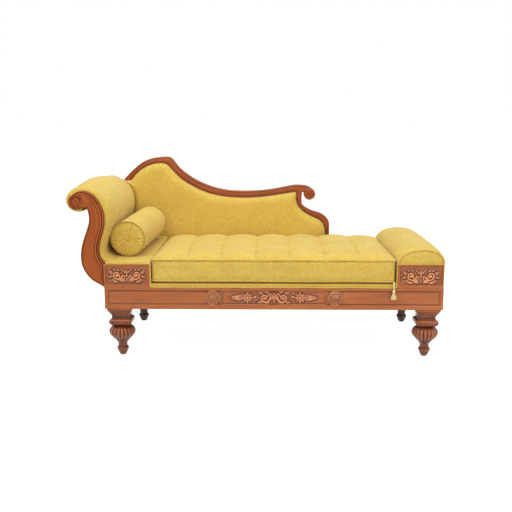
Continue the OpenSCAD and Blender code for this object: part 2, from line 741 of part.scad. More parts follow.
// Upper edge of the crest, from the head end to the volute
crest_upper_shares = [
    [-0.014, 0.790], [0.023, 0.889], [0.064, 0.940], [0.103, 0.972], [0.143, 0.992], [0.182, 1],
    [0.209, 0.997],
    [0.223, 0.983], [0.241, 0.943], [0.279, 0.862], [0.318, 0.810], [0.397, 0.737], [0.476, 0.699],
    [0.554, 0.681],
    [0.634, 0.686], [0.713, 0.700], [0.792, 0.730], [0.831, 0.739], [0.871, 0.736], [0.898, 0.722]];
// Lower edge of the crest, from the head end to the underside of the volute
crest_lower_shares = [
    [0.021, 0.788], [0.041, 0.820], [0.079, 0.874], [0.127, 0.918], [0.165, 0.935], [0.189, 0.933],
    [0.207, 0.893],
    [0.235, 0.834], [0.272, 0.772], [0.319, 0.714], [0.384, 0.659], [0.456, 0.627], [0.527, 0.614],
    [0.598, 0.616],
    [0.656, 0.622], [0.732, 0.644], [0.800, 0.662], [0.838, 0.667], [0.872, 0.660]];
// Inner and outer edges of the return, from the crest down to the seat
return_inner_shares = [
    [0.835, 0.690], [0.833, 0.640], [0.833, 0.586], [0.842, 0.536], [0.866, 0.484], [0.904, 0.439],
    [0.942, 0.404],
    [0.966, 0.365], [0.976, 0.309], [0.978, 0.240], [0.978, 0]];
return_outer_shares = [
    [0.864, 0.690], [0.861, 0.637], [0.861, 0.570], [0.870, 0.532], [0.908, 0.491], [0.953, 0.463],
    [0.983, 0.426],
    [0.997, 0.383], [1, 0.330], [1, 0.240], [1, 0]];
function on_back(shares) = placed(shares, 0, rail_top, back_l, back_h);
function crest_upper() = smooth(on_back(crest_upper_shares), 3);
function crest_lower() = smooth(on_back(crest_lower_shares), 3);
function return_inner() = smooth(on_back(return_inner_shares), 3);
function return_outer() = smooth(on_back(return_outer_shares), 3);
crest_volute = [back_l * 0.899, rail_top + back_h * 0.645];
function crest_end(c, r) = arc(c, r, 78, -120, 12);
module crest_outline() {
    polygon(concat(crest_upper(), crest_end(crest_volute, crest_volute_r), reversed(crest_lower())));
}
module crest_rail() {
    color(wood) on_couch() {
        upright(back_y + bead_h, crest_t - bead_h) crest_outline();
        upright(back_y, bead_h) {
            polygon(ribbon(crest_upper(), bead_h / 2, 2.6 * bead_h));
            polygon(ribbon(crest_upper(), 3.4 * bead_h, 4.6 * bead_h));
            polygon(ribbon(crest_lower(), -bead_h / 2, -1.8 * bead_h));
        }
        volute_eye(crest_volute, crest_volute_r * 1.2, back_y, bead_h, 60);
    }
}
module return_stile() {
    color(wood) on_couch() difference() {
        upright(back_y + bead_h, crest_t - bead_h)
            polygon(concat(return_outer(), reversed(return_inner())));
        upright(back_y, crest_t + overrun) crest_outline();
    }
}
post_y = back_y + crest_t - post_t;
lower_rail_h = 50;
post_w = 36;
post_places_shares = [0.04, 0.37, 0.68];
module back_lower_rail() {
    x0 = head_plinth_l + cover_t + 2 * gap;
    color(inner_wood) on_couch() translate([x0, post_y, rail_top])
        cube([back_l * 0.978 - x0 - gap, post_t, lower_rail_h]);
}
module back_posts() {
    color(inner_wood) on_couch() difference() {
        for (s = post_places_shares) {
            x = back_l * s;
            z = x < head_plinth_l ? plinth_top + ledge_t + ledge_rise + 2 * gap : rail_top + lower_rail_h;
            translate([x, post_y, z]) cube([post_w, post_t, rail_top + back_h * 0.9 - z]);
        }
        upright(back_y, crest_t + overrun) crest_outline();
        upright(back_y, crest_t + overrun)
            polygon(concat(crest_upper(), [[back_l * 0.9, rail_top + back_h],
                [back_l * -0.02, rail_top + back_h]]));
    }
}
// The pad's lower edge stands on the deck, steps up over the ledge and again over the head roll
pad_low = deck_top + 2 * gap;
pad_ledge = plinth_top + ledge_t + ledge_rise + 2 * gap;
pad_ledge_x = head_plinth_l + cover_t + 3 * gap;
pad_head_x = scroll_lean + head_crown + 2 * gap;
pad_right_x = back_l * 0.833;
function pad_columns() =
    let (side = [for (p = reversed(return_inner())) if (p[1] < rail_top + back_h * 0.63) p], n = len(side),
         crest = [for (p = crest_lower()) [p[0], p[1]]])
    concat(
        [for (i = [0:n - 1])
            let (x = side[0][0] + (pad_right_x + overrun - side[0][0]) * i / n)
            [[side[i][0], max(side[i][1], pad_low + overrun)], [x, pad_low]]],
        [[[pad_right_x, read(crest, pad_right_x)], [pad_right_x, pad_low]]],
        [for (p = reversed(crest))
            if (p[0] < pad_right_x - overrun && p[0] > pad_ledge_x + overrun) [p, [p[0], pad_low]]],
        [for (q = [[pad_ledge_x, pad_low], [pad_ledge_x - overrun, pad_ledge]])
            [[q[0], read(crest, q[0])], [pad_ledge_x, q[1]]]],
        [for (p = reversed(crest))
            if (p[0] < pad_ledge_x - 2 * overrun && p[0] > pad_head_x + overrun) [p, [p[0], pad_ledge]]],
        [[[pad_head_x, read(crest, pad_head_x)], [pad_head_x, pad_ledge]]]);
// How far the pad stands forward, and how far its edge draws in, as shares of its crown
pad_shares = [[0, 0.01], [0.25, 0.06], [0.5, 0.2], [0.75, 0.48], [0.92, 0.85], [1, 1.3]];
function back_ring(y, d) =
    let (columns = pad_columns(), edge = beside([for (c = columns) c[0]], -d), n = len(columns),
    x1 = columns[0][0][0] - d)
    concat(
        [for (i = [0:n - 1]) [edge[i][0], y, max(edge[i][1], columns[i][1][1] + overrun)]],
        [for (i = [n - 1:-1:0]) [min(columns[i][1][0], x1 - gap * i), y, columns[i][1][1]]]);
// The pad's corner fills the space between the crest and the head roll
function pad_corner() =
    let (ring = head_ring(seat_d - facing_t, 1), n = len(above_ledge(pad_path())),
         roll = [for (i = [0:n]) [ring[i][0], ring[i][2]]], x1 = pad_head_x + 2 * overrun,
         crest = [for (p = crest_lower()) flat(p)])
    concat(
        [for (p = beside(roll, gap)) if (p[0] > overrun) [p[0], max(p[1], pad_ledge)]],
        [for (p = beside(crest, gap)) if (p[0] < pad_head_x) p],
        [[x1, read(crest, x1) - 2 * gap], [x1, pad_ledge]]);
module back_upholstery() {
    front = [for (s = reversed(pad_shares)) back_ring(back_y - back_crown * s[0], gap + back_crown * s[1])];
    y0 = back_y - back_crown / 2;
    color(fabric) on_couch() {
        loft(concat(front, [back_ring(post_y - gap, 2 * gap)]));
        upright(y0, post_y - gap - y0) polygon(pad_corner());
    }
}
module back_outside_cover() {
    upper = [for (p = reversed(beside(crest_lower(), -crest_t / 3))) if (p[0] < back_l * 0.85) p];
    side = [for (p = beside(return_inner(), -crest_t / 4)) if (p[1] < rail_top + back_h * 0.66) p];
    color(fabric) on_couch() upright(back_y + crest_t, cover_t)
        polygon(concat([for (p = reversed(side)) [p[0], max(p[1], rail_top + gap)]], upper,
            [[scroll_lean + gap, rail_top + back_h * 0.79],
            [scroll_lean + gap, plinth_top + ledge_t + ledge_rise + 2 * gap],
             [head_plinth_l + cover_t + gap, plinth_top + ledge_t + ledge_rise + 2 * gap],
             [head_plinth_l + cover_t + gap, rail_top + gap]]));
}

// Seat deck and its welt

deck_x0 = head_plinth_l + cover_t + gap;
deck_x1 = foot_x - cover_t - gap;
deck_edge = deck_t / 4;
welt_seat = piping_d + 2 * gap;
module seat_deck() {
    edge = deck_edge;
    x2 = back_l + gap;
    color(fabric) on_couch() {
        difference() {
            translate([deck_x0, 0, 0]) rotate([90, 0, 90]) linear_extrude(deck_x1 - deck_x0)
                polygon([[welt_seat, rail_top], [back_y - gap, rail_top], [back_y - gap, deck_top],
                    [welt_seat + edge, deck_top], [welt_seat + edge / 3, deck_top - edge / 3],
                    [welt_seat, deck_top - edge]]);
            for (x = [deck_x0 - overrun, deck_x1 - welt_seat]) {
                translate([x, -overrun, rail_top])
                    cube([welt_seat + overrun, welt_seat + overrun, deck_t + overrun]);
            }
        }
        translate([x2, 0, 0]) rotate([90, 0, 90]) linear_extrude(deck_x1 - x2)
            polygon([[back_y - overrun, rail_top], [seat_d, rail_top], [seat_d, deck_top - edge],
                [seat_d - edge / 3, deck_top - edge / 3], [seat_d - edge, deck_top],
                [back_y - overrun, deck_top]]);
    }
}
// Bend of the welt as a share of its radius
welt_bend_share = 1.2;
module platform_welt() {
    r = piping_d / 2;
    x0 = deck_x0 + r;
    x1 = deck_x1 - r;
    z0 = rail_top + r + gap;
    z1 = deck_top - deck_edge;
    y = r;
    bend = welt_bend_share * r;
    path = concat(
        [[x0, z1]], arc([x0 + bend, z0 + bend], bend, 180, 270, 4),
        arc([x1 - bend, z0 + bend], bend, 270, 360, 4), [[x1, z1]]);
    color(fabric) on_couch() tube([for (p = path) [p[0], y, p[1]]], [0, 1, 0], r, 6);
}

// Seat cushion with a crown, drawn-in sides and soft tufts

cushion_x0 = head_plinth_l + cover_t + cushion_gap;
cushion_x1 = foot_x - cover_t - cushion_slack;
cushion_l = cushion_x1 - cushion_x0;
cushion_d = pad_front_y - cushion_rear_gap;
rim_seat = piping_d * 1.72;
cells_x = tuft_columns * 4;
cells_y = tuft_rows * 4;
corner_pull = piping_d * 0.6;
// Height of the top over the upper rim; s and t run from -1 to 1
function bump(d, w) = exp(-d * d / (w * w));
function tufts(s, t) = max([
    for (i = [1:tuft_columns - 1], j = [0:tuft_rows - 1])
        let (dx = (s - (2 * i / tuft_columns - 1)) * tuft_columns,
        dy = (t - ((2 * j + 1) / tuft_rows - 1)) * tuft_rows)
        bump(sqrt(dx * dx + dy * dy), 0.55) + 0.35 * bump(dx, 0.3)]);
function top_rise(s, t) =
    let (full = sqrt(sqrt(max(1 - pow(abs(s), 6), 0))) * sqrt(max(1 - pow(abs(t), 3), 0)))
    cushion_crown * full - tuft_depth * tufts(s, t) * min(full, 1);
function cushion_xy(i, j, inset) =
    let (s = 2 * i / cells_x - 1, t = 2 * j / cells_y - 1,
    corner = abs(s) == 1 && abs(t) == 1 ? corner_pull : 0,
         ex = abs(s) == 1 ? inset : 0, ey = abs(t) == 1 ? inset : 0)
    [cushion_x0 + cushion_l * (s + 1) / 2 - sign(s) * (ex + corner),
    cushion_d * (t + 1) / 2 - sign(t) * (ey + corner)];
// The rim, anticlockwise from above
rim_cells = concat(
    [for (i = [0:cells_x - 1]) [i, 0]], [for (j = [0:cells_y - 1]) [cells_x, j]],
    [for (i = [cells_x:-1:1]) [i, cells_y]], [for (j = [cells_y:-1:1]) [0, j]]);
function drawn_in(c) =
    let (s = 2 * c[0] / cells_x - 1, t = 2 * c[1] / cells_y - 1)
    cushion_pull * sqrt(max(1 - pow(min(abs(s), abs(t)), 4), 0));
// Rings of the sides: rim seats up, share of the height up, inset in rim seats, and how far drawn in
rim_levels_shares = [[0, 0, 1, 0], [1, 0, 0.08, 0], [0, 0.5, 0.08, 1], [-1, 1, 0.08, 0]];
module seat_cushion() {
    rim = len(rim_cells);
    rings = [
        for (lv = rim_levels_shares)
            let (z = cushion_z + lv[0] * rim_seat + lv[1] * cushion_t)
            each [
                for (c = rim_cells)
                    concat(cushion_xy(c[0], c[1], rim_seat * lv[2] + drawn_in(c) * lv[3]), [z])]];
    top = [
        for (j = [0:cells_y], i = [0:cells_x])
            concat(cushion_xy(i, j, rim_seat),
                [rim_top + top_rise(2 * i / cells_x - 1, 2 * j / cells_y - 1)])];
    base = len(rings);
    function at(i, j) = base + j * (cells_x + 1) + i;
    bottom = [
        for (j = [0:rim / 2 - 2])
            each [[j, j + 1, rim - 1 - j], [j + 1, rim - 2 - j, rim - 1 - j]]];
    sides = [
        for (k = [0:2], n = [0:rim - 1])
            let (a = k * rim + n, b = k * rim + (n + 1) % rim)
            each [[b, a, a + rim], [b, a + rim, b + rim]]];
    lip = [
        for (n = [0:rim - 1])
            let (m = (n + 1) % rim, a = 3 * rim + n, b = 3 * rim + m,
                 c = at(rim_cells[n][0], rim_cells[n][1]), d = at(rim_cells[m][0], rim_cells[m][1]))
            each [[b, a, c], [b, c, d]]];
    crown = [
        for (j = [0:cells_y - 1], i = [0:cells_x - 1])
            each [[at(i, j), at(i, j + 1), at(i + 1, j + 1)], [at(i, j), at(i + 1, j + 1), at(i + 1, j)]]];
    color(fabric) on_couch()
        polyhedron(concat(rings, top), concat(bottom, sides, lip, crown), convexity = 10);
}
module seat_cushion_piping() {
    r = piping_d / 2;
    c = corner_pull * 2;
    x0 = cushion_x0 + r;
    x1 = cushion_x1 - r;
    y0 = r;
    y1 = cushion_d - r;
    rim = concat(
        arc([x1 - c, y0 + c], c, 270, 360, 4), arc([x1 - c, y1 - c], c, 0, 90, 4),
        arc([x0 + c, y1 - c], c, 90, 180, 4), arc([x0 + c, y0 + c], c, 180, 270, 4));
    color(fabric) on_couch() for (z = [cushion_z + r, rim_top - r + gap]) {
        tube([for (p = rim) [p[0], p[1], z]], [0, 0, 1], r, 6, true);
    }
}

// Bolster with pleated ends

bolster_r = bolster_d / 2;
bolster_y = pad_front_y - bolster_rear_gap - bolster_l;
// It lies along the ledge's slope, and on the highest point of the ledge below it
bolster_rise = ledge_top(bolster_y + bolster_l) - ledge_top(bolster_y);
bolster_lift = max([
    for (s = ledge_rise_shares)
        let (y = facing_t + head_pad_d * s[0], along = (y - bolster_y) / bolster_l)
        along > 0 && along < 1 ? ledge_top(y) - ledge_top(bolster_y) - bolster_rise * along : 0]);
bolster_z = ledge_top(bolster_y) + bolster_lift + bolster_r + gap;
// Its side rests beside the head pad
bolster_x = bolster_head_gap + max([
    for (s = head_fill_shares)
        let (y = facing_t + head_pad_d * s[0], along = (y - bolster_y) / bolster_l)
        if (along > 0 && along < 1)
        for (p = head_ring(y, s[1]))
            let (z = p[2] - bolster_z - bolster_rise * along)
            if (abs(z) < bolster_r)
            p[0] + sqrt(bolster_r * bolster_r - z * z) - bolster_turn * along]);
module on_bolster() {
    on_couch() translate([bolster_x, bolster_y, bolster_z])
        rotate([asin(bolster_rise / bolster_l), 0, -asin(bolster_turn / bolster_l)]) children();
}
// Place along the bolster, radius and depth of the pleats, from the middle of the front end
end_shares = [[0.055, 0.12, 0], [0.045, 0.3, 0.35], [0.02, 0.62, 1], [0.012, 0.9, 0.6], [0.042, 0.962, 0],
    [0.1, 0.972, 0], [0.3, 0.995, 0]];
pleat_depth = bolster_r / 22;
function bolster_ring(y, r, pleat, out) = [
    for (k = [0:2 * bolster_pleats - 1])
        let (a = 180 * k / bolster_pleats) [r * cos(a), y + (k % 2) * pleat * out, r * sin(a)]];
module bolster() {
    front = [for (s = end_shares)
        bolster_ring(s[0] * bolster_r * 2, s[1] * bolster_r, pleat_depth * s[2], 1)];
    rear = [for (s = reversed(end_shares))
        bolster_ring(bolster_l - s[0] * bolster_r * 2, s[1] * bolster_r, pleat_depth * s[2], -1)];
    color(fabric) on_bolster() loft(concat(front, rear));
}
bolster_piping_d = piping_d * 0.8;
module bolster_piping() {
    r = bolster_piping_d / 2;
    color(fabric) on_bolster() for (y = [r, bolster_l - r]) {
        translate([0, y, 0]) rotate([90, 0, 0]) rotate_extrude() translate([bolster_r - r, 0])
            circle(r, $fn = 16);
    }
}
module bolster_buttons() {
    t = bolster_r * 0.11;
    color(fabric) on_bolster() for (m = [0, 1]) {
        translate([0, m * bolster_l, 0]) mirror([0, m, 0]) rotate([-90, 0, 0])
            rotate_extrude() polygon([[0, 0], [button_d * 0.3, t * 0.1], [button_d * 0.45, t * 0.4],
                [button_d * 0.4, t * 0.8], [0, t * 0.95]]);
    }
}

// Tassel that hangs from the front corner of the cushion

tassel_x = cushion_x1 - skirt_w / 3;
tassel_z = cushion_z + piping_d / 2;
knot_r = tassel_depth / 2;
// Down the tassel, then half width and half depth as shares of the skirt's and of the tassel's
tassel_shares = [[0.06, 0.36, 0.6], [0.42, 0.36, 0.6], [0.45, 0.58, 0.85], [0.52, 0.62, 0.9],
    [0.58, 0.42, 0.65],
    [0.63, 0.46, 0.7], [0.7, 0.72, 0.9], [0.78, 0.82, 0.98], [0.97, 1, 1], [1, 0.96, 0.96]];
module tassel() {
    around = 16;
    color(cream) on_couch() translate([tassel_x, tassel_y, tassel_z]) {
        rotate([0, 90, 0]) cylinder(h = skirt_w * 0.45, r = knot_r, center = true);
        loft([
            for (s = reversed(tassel_shares)) [
                for (k = [0:around - 1]) let (a = -360 * k / around)
                    [max(tassel_cord_d, skirt_w * s[1]) / 2 * cos(a), tassel_depth / 2 * s[2] * sin(a),
                    -tassel_l * s[0]]]]);
    }
}

// Carving in low relief

module leaf(l, w) {
    r = (l * l + w * w) / (4 * w);
    intersection() {
        translate([l / 2, r - w / 2]) circle(r, $fn = 64);
        translate([l / 2, -r + w / 2]) circle(r, $fn = 64);
    }
}
// How far a curl winds in, in degrees
curl_turn = 470;
// One half of a foliate panel, from its middle to its end
module foliage(l, h) {
    translate([l * 0.36, h * 0.04]) rotate(190)
        polygon(ribbon(spiral([0, 0], h * 0.4, h * 0.08, 0, curl_turn, 26), h * 0.045, -h * 0.045));
    translate([l * 0.76, -h * 0.06]) rotate(20)
        polygon(ribbon(spiral([0, 0], h * 0.32, h * 0.07, 0, curl_turn, 26), h * 0.04, -h * 0.04));
    translate([l * 0.36, h * 0.04]) circle(h * 0.12, $fn = 24);
    translate([l * 0.76, -h * 0.06]) circle(h * 0.1, $fn = 24);
    translate([l * 0.5, h * 0.3]) rotate(12) leaf(l * 0.34, h * 0.16);
    translate([l * 0.5, -h * 0.34]) rotate(-8) leaf(l * 0.36, h * 0.16);
    translate([l * 0.04, -h * 0.3]) rotate(-14) leaf(l * 0.32, h * 0.18);
    translate([l * 0.04, h * 0.32]) rotate(20) leaf(l * 0.24, h * 0.16);
}
module foliate_panel(l, h) {
    foliage(l / 2, h);
    mirror([1, 0]) foliage(l / 2, h);
    for (a = [-60, -90, -120, 60, 90, 120]) {
        rotate(a) leaf(h * 0.48, h * 0.15);
    }
    circle(h * 0.13, $fn = 24);
}
module block_carving(x, l) {
    w = l - 2 * field_border;
    h = plinth_h - 2 * field_border;
    color(wood) on_couch() translate([x + l / 2, 0, rail_top + plinth_h / 2])
        upright(0, field_recess) scale([0.9, 0.9]) foliate_panel(w, h);
}
module head_plinth_carving() {
    block_carving(0, head_board_l);
}
module foot_plinth_carving() {
    block_carving(foot_board_x, foot_board_l);
}
panel_h = rail_h - rail_base_h - rail_lip_h;
panel_z = leg_h + rail_base_h + panel_h / 2;
roundel_r = panel_h * 0.49;
// The carving lies in the middle of the rail, and the roundels on both sides of it
carving_x = seat_l * 0.5015;
roundel_out = carving_l / 2 + roundel_gap + roundel_r;
module rail_roundels() {
    petals = 12;
    color(wood) on_couch() for (m = [-1, 1]) {
        translate([carving_x + m * roundel_out, panel_recess, panel_z]) rotate([90, 0, 0]) {
            difference() {
                cylinder(h = panel_recess * 0.8, r = roundel_r);
                translate([0, 0, panel_recess * 0.3]) cylinder(h = panel_recess, r = roundel_r * 0.84);
            }
            linear_extrude(panel_recess * 0.7) for (k = [0:petals - 1]) {
                rotate(360 * k / petals) translate([roundel_r * 0.2, 0])
                    leaf(roundel_r * 0.56, roundel_r * 0.26);
            }
            cylinder(h = panel_recess * 0.85, r = roundel_r * 0.24);
        }
    }
}
module pod(l, h) {
    leaf(l, h * 0.5);
    for (m = [0, 1]) {
        mirror([0, m]) {
            translate([l * 0.12, h * 0.1]) rotate(16) leaf(l * 0.7, h * 0.22);
            translate([l * 0.02, h * 0.06]) rotate(38) leaf(l * 0.42, h * 0.18);
        }
    }
}
module rail_carving() {
    l = carving_l;
    h = panel_h * 0.82;
    edge = panel_h * 0.05;
    color(wood) on_couch() translate([carving_x, 0, panel_z]) {
        upright(panel_recess * 0.25, panel_recess * 0.75) {
            foliate_panel(l * 0.33, h);
            for (m = [0, 1]) {
                mirror([m, 0]) {
                    translate([l * 0.24, 0]) {
                        for (a = [0:60:300]) {
                            rotate(a) leaf(h * 0.42, h * 0.16);
                        }
                        circle(h * 0.1, $fn = 24);
                    }
                    translate([l * 0.31, 0]) pod(l * 0.13, h);
                }
            }
        }
        upright(panel_recess * 0.7, panel_recess * 0.3) difference() {
            square([l, panel_h * 0.94], center = true);
            square([l - 2 * edge, panel_h * 0.94 - 2 * edge], center = true);
        }
    }
}

front_seat_rail();
rear_seat_rail();
head_seat_rail();
foot_seat_rail();
cross_bearers();
corner_braces();
leg_bolts();
brace_screws();
leg_front_head();
leg_front_foot();
leg_rear_head();
leg_rear_foot();
head_plinth_front();
head_plinth_rear();
head_plinth_sides();
head_plinth_top();
foot_plinth_front();
foot_plinth_rear();
foot_plinth_sides();
front_scroll_facing();
rear_scroll_facing();
head_frame_boards();
head_frame_rails();
head_upholstery();
head_outside_cover();
ledge_upholstery();
foot_roll_core();
foot_roll_upholstery();
foot_roll_end_panels();
foot_roll_piping();
crest_rail();
return_stile();
back_posts();
back_lower_rail();
back_upholstery();
back_outside_cover();
webbing_cross_straps();
webbing_long_straps();
seat_deck();
platform_welt();
dust_cover();
rail_roundels();
rail_carving();
head_plinth_carving();
foot_plinth_carving();
seat_cushion();
seat_cushion_piping();
bolster();
bolster_piping();
bolster_buttons();
tassel();
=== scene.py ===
"""Fainting couch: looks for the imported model.

Outlines are drawn in millimetres in the couch's workshop axes: u from the head
end of the seat frame, v from its front face, z from the floor.
"""
from math import cos, exp, hypot, pi, radians, sin, sqrt

import bmesh
import bpy
import numpy as np
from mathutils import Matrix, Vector
from mathutils.kdtree import KDTree


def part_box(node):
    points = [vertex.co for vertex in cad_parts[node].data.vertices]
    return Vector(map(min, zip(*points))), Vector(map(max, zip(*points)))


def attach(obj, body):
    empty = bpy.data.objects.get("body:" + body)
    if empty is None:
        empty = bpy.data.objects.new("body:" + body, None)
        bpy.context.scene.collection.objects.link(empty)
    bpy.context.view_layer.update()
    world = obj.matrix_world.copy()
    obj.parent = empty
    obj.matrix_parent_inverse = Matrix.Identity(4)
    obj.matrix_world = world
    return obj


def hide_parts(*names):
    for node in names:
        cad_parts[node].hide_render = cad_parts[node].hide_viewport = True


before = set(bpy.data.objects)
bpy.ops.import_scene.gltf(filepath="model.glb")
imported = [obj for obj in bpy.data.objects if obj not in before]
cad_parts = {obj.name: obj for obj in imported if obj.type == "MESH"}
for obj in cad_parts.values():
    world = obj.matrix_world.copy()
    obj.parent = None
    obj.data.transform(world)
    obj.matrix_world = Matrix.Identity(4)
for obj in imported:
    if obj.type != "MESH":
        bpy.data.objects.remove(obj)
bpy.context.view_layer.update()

scene = bpy.context.scene
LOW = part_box("front_seat_rail")[0]


def row(points):
    """Workshop millimetres to the row frame's metres."""
    return np.asarray(points, float).reshape(-1, 3) / 1000 + (LOW.x, LOW.y, 0)


# Sizes

SEAT_L, SEAT_D = 1645.0, 741.0
LEG_H, RAIL_H, RAIL_T = 247.0, 106.0, 36.0
RAIL_TOP = LEG_H + RAIL_H
PLINTH_H, PLINTH_L, PLINTH_BOARD_T = 117.0, 223.0, 24.0
PLINTH_TOP = RAIL_TOP + PLINTH_H
FOOT_X = SEAT_L - PLINTH_L
REACH, LEAN, SCROLL_H = 157.0, 10.0, 470.0
SCROLL_W = REACH + LEAN
FACING_T, VOLUTE_R = 24.0, 38.0
BACK_L, BACK_H, CREST_T, BACK_Y = 1147.0, 601.0, 40.0, 695.0
CREST_R = 33.0
COVER_T, HEAD_EDGE, HEAD_CROWN = 3.0, 8.0, 38.0
LEDGE_T, LEDGE_RISE = 9.0, 26.0
DECK_T, BACK_CROWN = 23.0, 40.0
DECK_TOP = RAIL_TOP + DECK_T
PIPING = 7.5
CUSH = dict(x0=229.0, x1=1413.0, d=644.0, z0=DECK_TOP + 0.3, t=109.0)
RAIL_LIP, RAIL_BASE = 11.0, 21.0
RIM_TOP = CUSH["z0"] + CUSH["t"]
CUSH_L = CUSH["x1"] - CUSH["x0"]
CUSH_COLS, CUSH_ROWS = 7, 3
# Heights of the cushion's two lines of piping
CUSH_RIM, CUSH_LOW = RIM_TOP + 7.0, CUSH["z0"] + 12.0
BOLSTER_R, BOLSTER_L, BOLSTER_TURN = 88.0, 495.0, 38.0
BOLSTER_X, BOLSTER_Y = 102.0, 100.0
TASSEL_X, TASSEL_Y = 1403.0, -8.3
LEG_X, LEG_Y = 70.0, 60.0
# The gadrooned bulb of a leg: radius, height of its foot, height
BULB_R, BULB_FOOT, BULB_H = 65.0, 59.0, 96.0

# Curves


def smooth(points, n):
    """Catmull-Rom curve through the points, n steps to a span."""
    p = np.asarray(points, float)
    q = np.vstack([p[:1], p, p[-1:]])
    out = []
    for i in range(len(p) - 1):
        a, b, c, d = q[i], q[i + 1], q[i + 2], q[i + 3]
        for k in range(n):
            t = k / n
            linear, square, cube = c - a, 2 * a - 5 * b + 4 * c - d, 3 * b - a - 3 * c + d
            out.append((2 * b + linear * t + square * t * t + cube * t**3) / 2)
    out.append(p[-1])
    return np.array(out)


def along(p, closed=False):
    """Unit tangents of a curve in the plane."""
    if closed:
        t = np.roll(p, -1, 0) - np.roll(p, 1, 0)
    else:
        t = np.gradient(p, axis=0)
    return t / np.maximum(np.linalg.norm(t, axis=1, keepdims=True), 1e-9)


def right_of(p, closed=False):
    """Unit normals to the right of a curve in the plane."""
    t = along(p[:, :2], closed)
    return np.column_stack([t[:, 1], -t[:, 0]])


def beside(p, d, closed=False):
    """A curve moved to its right by d."""
    return p[:, :2] + np.asarray(d, float).reshape(-1, 1) * right_of(p, closed)


def across(p, y):
    """A curve of the plane of x and z, set at the depth y."""
    return np.column_stack([p[:, 0], np.full(len(p), y), p[:, 1]])


def shoulder(e, within, fall):
    """How far a rounded edge has fallen at e inside it."""
    k = min(e / within, 1)
    return fall * (1 - sqrt(k * (2 - k)))


def lengths(p):
    """Length run along a curve at each of its points."""
    return np.concatenate([[0], np.cumsum(np.linalg.norm(np.diff(p, axis=0), axis=1))])


def resample(p, n):
    """n points at equal steps of length, all columns read alike."""
    s = lengths(p[:, :2])
    t = np.linspace(0, s[-1], n)
    return np.column_stack([np.interp(t, s, p[:, k]) for k in range(p.shape[1])])


def placed(shares, x, z, w, h):
    """Shares of a width and a height as points from the corner (x, z)."""
    p = np.asarray(shares, float).copy()
    p[:, 0] = x + p[:, 0] * w
    p[:, 1] = z + p[:, 1] * h
    return p


def arc(c, r, a0, a1, n):
    """n steps round c, from a0 to a1 degrees."""
    a = np.radians(np.linspace(a0, a1, n + 1))
    return np.column_stack([c[0] + r * np.cos(a), c[1] + r * np.sin(a)])


def distance(x, z, path):
    """Distance from many points to a polyline."""
    a, b = path[:-1], path[1:]
    ab = b - a
    l2 = np.maximum((ab**2).sum(1), 1e-12)
    q = np.column_stack([x.ravel(), z.ravel()])
    best = np.full(len(q), 1e9)
    for i in range(len(a)):
        t = np.clip(((q - a[i]) @ ab[i]) / l2[i], 0, 1)
        d = np.hypot(q[:, 0] - a[i, 0] - t * ab[i, 0], q[:, 1] - a[i, 1] - t * ab[i, 1])
        best = np.minimum(best, d)
    return best.reshape(x.shape)


def value_noise(p, size, seed=0):
    """Smooth noise from -1 to 1 at points in millimetres."""
    rng = np.random.default_rng(seed)
    table = rng.uniform(-1, 1, 4096)
    q = np.asarray(p, float) / size
    i = np.floor(q).astype(int)
    f = q - i
    f = f * f * (3 - 2 * f)
    total = 0
    for dx in (0, 1):
        for dy in (0, 1):
            for dz in (0, 1):
                h = ((i[:, 0] + dx) * 73856093 ^ (i[:, 1] + dy) * 19349663 ^ (i[:, 2] + dz) * 83492791) & 4095
                w = 1
                for axis, step in enumerate((dx, dy, dz)):
                    w = w * (f[:, axis] if step else 1 - f[:, axis])
                total = total + table[h] * w
    return total


# Materials


def add(nt, kind, inputs=None, **props):
    """A shader node, with its inputs linked or set."""
    n = nt.nodes.new("ShaderNode" + kind)
    for k, v in props.items():
        setattr(n, k, v)
    for k, v in (inputs or {}).items():
        if isinstance(v, bpy.types.NodeSocket):
            nt.links.new(v, n.inputs[k])
        else:
            n.inputs[k].default_value = v
    return n


def ramp(nt, fac, stops):
    """A colour ramp through (place, colour) stops."""
    n = add(nt, "ValToRGB", {"Fac": fac})
    e = n.color_ramp.elements
    while len(e) < len(stops):
        e.new(0.5)
    for i, (at, colour) in enumerate(stops):
        e[i].position = at
        e[i].color = (*colour, 1)
    return n.outputs["Color"]


def mix(nt, fac, a, b, how="MIX"):
    """Two colours mixed."""
    n = add(nt, "Mix", data_type="RGBA", blend_type=how)
    for k, v in ((0, fac), (6, a), (7, b)):
        if isinstance(v, bpy.types.NodeSocket):
            nt.links.new(v, n.inputs[k])
        else:
            n.inputs[k].default_value = v if k == 0 else (*v, 1)
    return n.outputs[2]


def shader(name, **values):
    """A new material, its node tree and its Principled shader."""
    mat = bpy.data.materials.new(name)
    mat.use_nodes = True
    nt = mat.node_tree
    b = nt.nodes["Principled BSDF"]
    for k, v in values.items():
        b.inputs[k.replace("_", " ")].default_value = v
    return mat, nt, b


